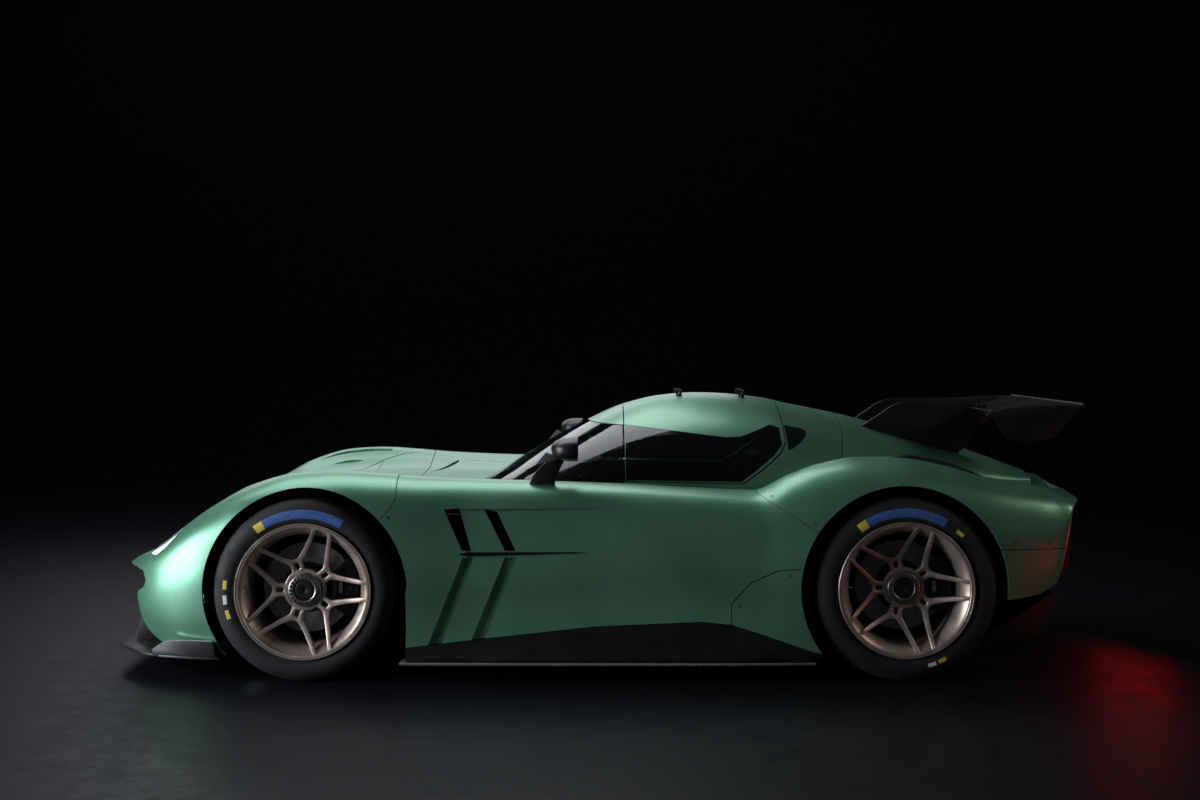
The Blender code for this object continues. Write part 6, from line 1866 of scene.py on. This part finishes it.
def makeCabinTrim():
    tub = block((-0.56, -0.6, 0.105), (0.93, 0.6, 0.56), 0.01, 3)
    cut(tub, block((-0.53, -0.57, 0.135), (0.9, 0.57, 0.7), 0.014, 3))
    finishPiece(tub, "cabinTub", "carbon", "body", ("cabin_tub",))
    strips = []
    for side in (-1, 1):
        rings = []
        for k in range(16):
            x = -0.48 + 1.39 * k / 15
            reach = min(smoothValue(cabinRows, 1, x) - 0.012, 0.64)
            rings.append([(x, side * 0.5985, 0.56), (x, side * 0.6025, 0.56), (x, side * (reach + 0.002), 0.7),
                          (x, side * (reach - 0.002), 0.7)])
        strips.append(strand(rings))
    finishPiece(together(strips), "sillPanels", "plastic", "body")
    wall = block((0.905, -0.64, 0.565), (0.913, 0.64, 1.2), 0.001, 1)
    clip(wall, cabinOuter(-0.018))
    ribs = [block((0.898, -0.33 + 0.165 * k, 0.6), (0.906, -0.318 + 0.165 * k, 1.0), 0.001, 1)
            for k in range(5)]
    finishPiece(together([wall, *ribs]), "rearBulkhead", "carbon", "body")
    box = block((0.08, -0.038, 0.1355), (0.86, 0.038, 0.29), 0.012, 3)
    finishPiece(box, "tunnelCover", "carbon", "body")
    pedals = []
    for y in (-0.36, -0.28, -0.2):
        pedals.append(block((-0.455, y - 0.022, 0.23), (-0.447, y + 0.022, 0.32), 0.002, 1))
        pedals.append(bar((-0.452, y, 0.135), (-0.452, y, 0.28), 0.006, 12))
    finishPiece(together(pedals), "pedals", "cast", "body")
    print("stage: cabin made")


def makeStage():
    # dark wet floor that turns up into a sweep far behind the car
    half, near, turn, top = 22.0, -14.0, 5.0, 14.0
    shape = bmesh.new()
    places = []
    for k in range(25):
        t = k / 24
        if t < 0.6:
            places.append((near + (turn - near) * t / 0.6, 0.0))
        else:
            angle = (t - 0.6) / 0.4 * pi / 2
            places.append((turn + turn * sin(angle), turn - turn * cos(angle)))
    rows = [[shape.verts.new((x, y, z)) for x in (-half, half)] for y, z in [*places, (2 * turn, top)]]
    for a, b in zip(rows, rows[1:]):
        shape.faces.new((a[0], a[1], b[1], b[0]))
    mesh = bpy.data.meshes.new("floorSweep")
    shape.to_mesh(mesh)
    shape.free()
    mesh.polygons.foreach_set("use_smooth", [True] * len(mesh.polygons))
    material, shader, node, where = newMaterial("asphaltFloorWetDark", "#0b0e12", 0.5, Specular_IOR_Level=0.12)
    damp = node("TexNoise", "Fac", where, Scale=1000 / 120, Detail=6.0, Roughness=0.7)
    finishOf(shader, damp, (0.4, 0.6))
    linkMesh("floorSweep", mesh, material, shown)


def addLight(name, place, target, size, watts, colour):
    data = bpy.data.lights.new(name, "AREA")
    data.shape = "RECTANGLE"
    data.size, data.size_y = size
    data.energy = watts
    data.color = linear(colour)[:3]
    lamp = bpy.data.objects.new(name, data)
    bpy.context.scene.collection.objects.link(lamp)
    lamp.location = place
    lamp.visible_camera = False
    lamp.rotation_euler = (Vector(target) - Vector(place)).to_track_quat("-Z", "Y").to_euler()


# Lights: place, target, size, watts and colour.
lights = {
    "softboxAbove": ((-1.4, 1.0, 4.0), (-0.8, 0.0, 0.6), (4.6, 2.4), 140.0, "#f4f8ff"),
    "softboxFar": ((-1.6, 5.4, 3.0), (-0.9, 0.0, 0.7), (6.0, 1.6), 62.0, "#f4f8ff"),
    "softboxFront": ((-5.8, -2.5, 1.3), (-1.9, -0.7, 0.4), (2.8, 2.4), 400.0, "#eef4ff"),
    "softboxRear": ((4.8, -2.0, 2.8), (1.6, -0.8, 0.6), (1.4, 1.4), 36.0, "#f6efe6"),
    "softboxLow": ((-0.6, -6.4, 0.7), (0.0, -0.9, 0.35), (3.4, 0.5), 2.0, "#f6efe6"),
    "tailGlow": ((2.55, 0.0, 0.34), (2.0, -0.2, 0.45), (0.5, 0.3), 1.0, "#ff2a20"),
    "tailGlowLow": ((2.6, -1.6, 0.2), (1.88, -0.88, 0.36), (0.4, 0.3), 0.5, "#ff2a20"),
}
photoView = {"place": (-0.012, -7.37, 1.421), "lens": 46.26, "shift": -0.0487}


def makeLights():
    world = bpy.data.worlds.new("studio")
    bpy.context.scene.world = world
    world.use_nodes = True
    tree = world.node_tree
    back = tree.nodes["Background"]
    back.inputs["Color"].default_value = linear("#8b98a6")
    back.inputs["Strength"].default_value = 0.085
    # the night beyond the sweep, as the camera sees it
    night = addNode(tree, "Background", 0, Color=linear("#030406"))
    seen = addNode(tree, "LightPath", "Is Camera Ray")
    either = addNode(tree, "MixShader", 0, seen, back.outputs[0], night)
    tree.links.new(either, tree.nodes["World Output"].inputs["Surface"])
    for name, settings in lights.items():
        addLight(name, *settings)


def makeCamera():
    data = bpy.data.cameras.new("photoView")
    data.sensor_width = 36.0
    data.lens = photoView["lens"]
    data.shift_y = photoView["shift"]
    camera = bpy.data.objects.new("photoView", data)
    camera.location = photoView["place"]
    camera.rotation_euler = (radians(90.0), 0.0, 0.0)
    bpy.context.scene.collection.objects.link(camera)
    bpy.context.scene.camera = camera
    bpy.context.scene.view_settings.view_transform = "Standard"


def build():
    lower, roof = buildShells()
    print("stage: shells cut")
    surfaces = [surfaceOf(lowerOuter()), surfaceOf(cabinOuter())]
    makeLowerPanels(lower, surfaces)
    makeCanopy(roof, surfaces)
    for makePieces in (makeWheels, makeUprights, makeLiners, makeSideTrim, makeMirrors, makeWing,
                       makeSplitter, makeBeak, makeMouth, makeLamps, makeTail, makeHinges, makeSeats,
                       makeDashboard, makeSteeringWheel, makeCage, makeCabinTrim, paintFrameNodes):
        makePieces()
    for item in list(work.objects):
        drop(item)
    makeStage()
    makeLights()
    makeCamera()
    print("stage: lights and camera set")


def paintFrameNodes():
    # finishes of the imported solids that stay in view
    wanted = {
        "tyre": "rubber", "rim": "bronze", "disc": "disc", "upright": "cast", "floor_pan": "carbon",
        "cabin_tub": "carbon", "front_suspension": "cast", "rear_suspension": "cast", "engine_block": "cast",
        "exhaust": "titanium", "dashboard": "fabric", "steering_wheel": "fabric", "seat": "carbon",
        "front_splitter": "carbon", "diffuser": "carbon", "rear_wing": "carbon", "fin": "carbon",
        "mirror": "carbon", "headlamp": "lens", "rear_grille": "liner",
    }
    for name, item in frame["nodes"].items():
        for start, look in wanted.items():
            if name.startswith(start):
                item.data.materials.clear()
                item.data.materials.append(looks[look])


build()
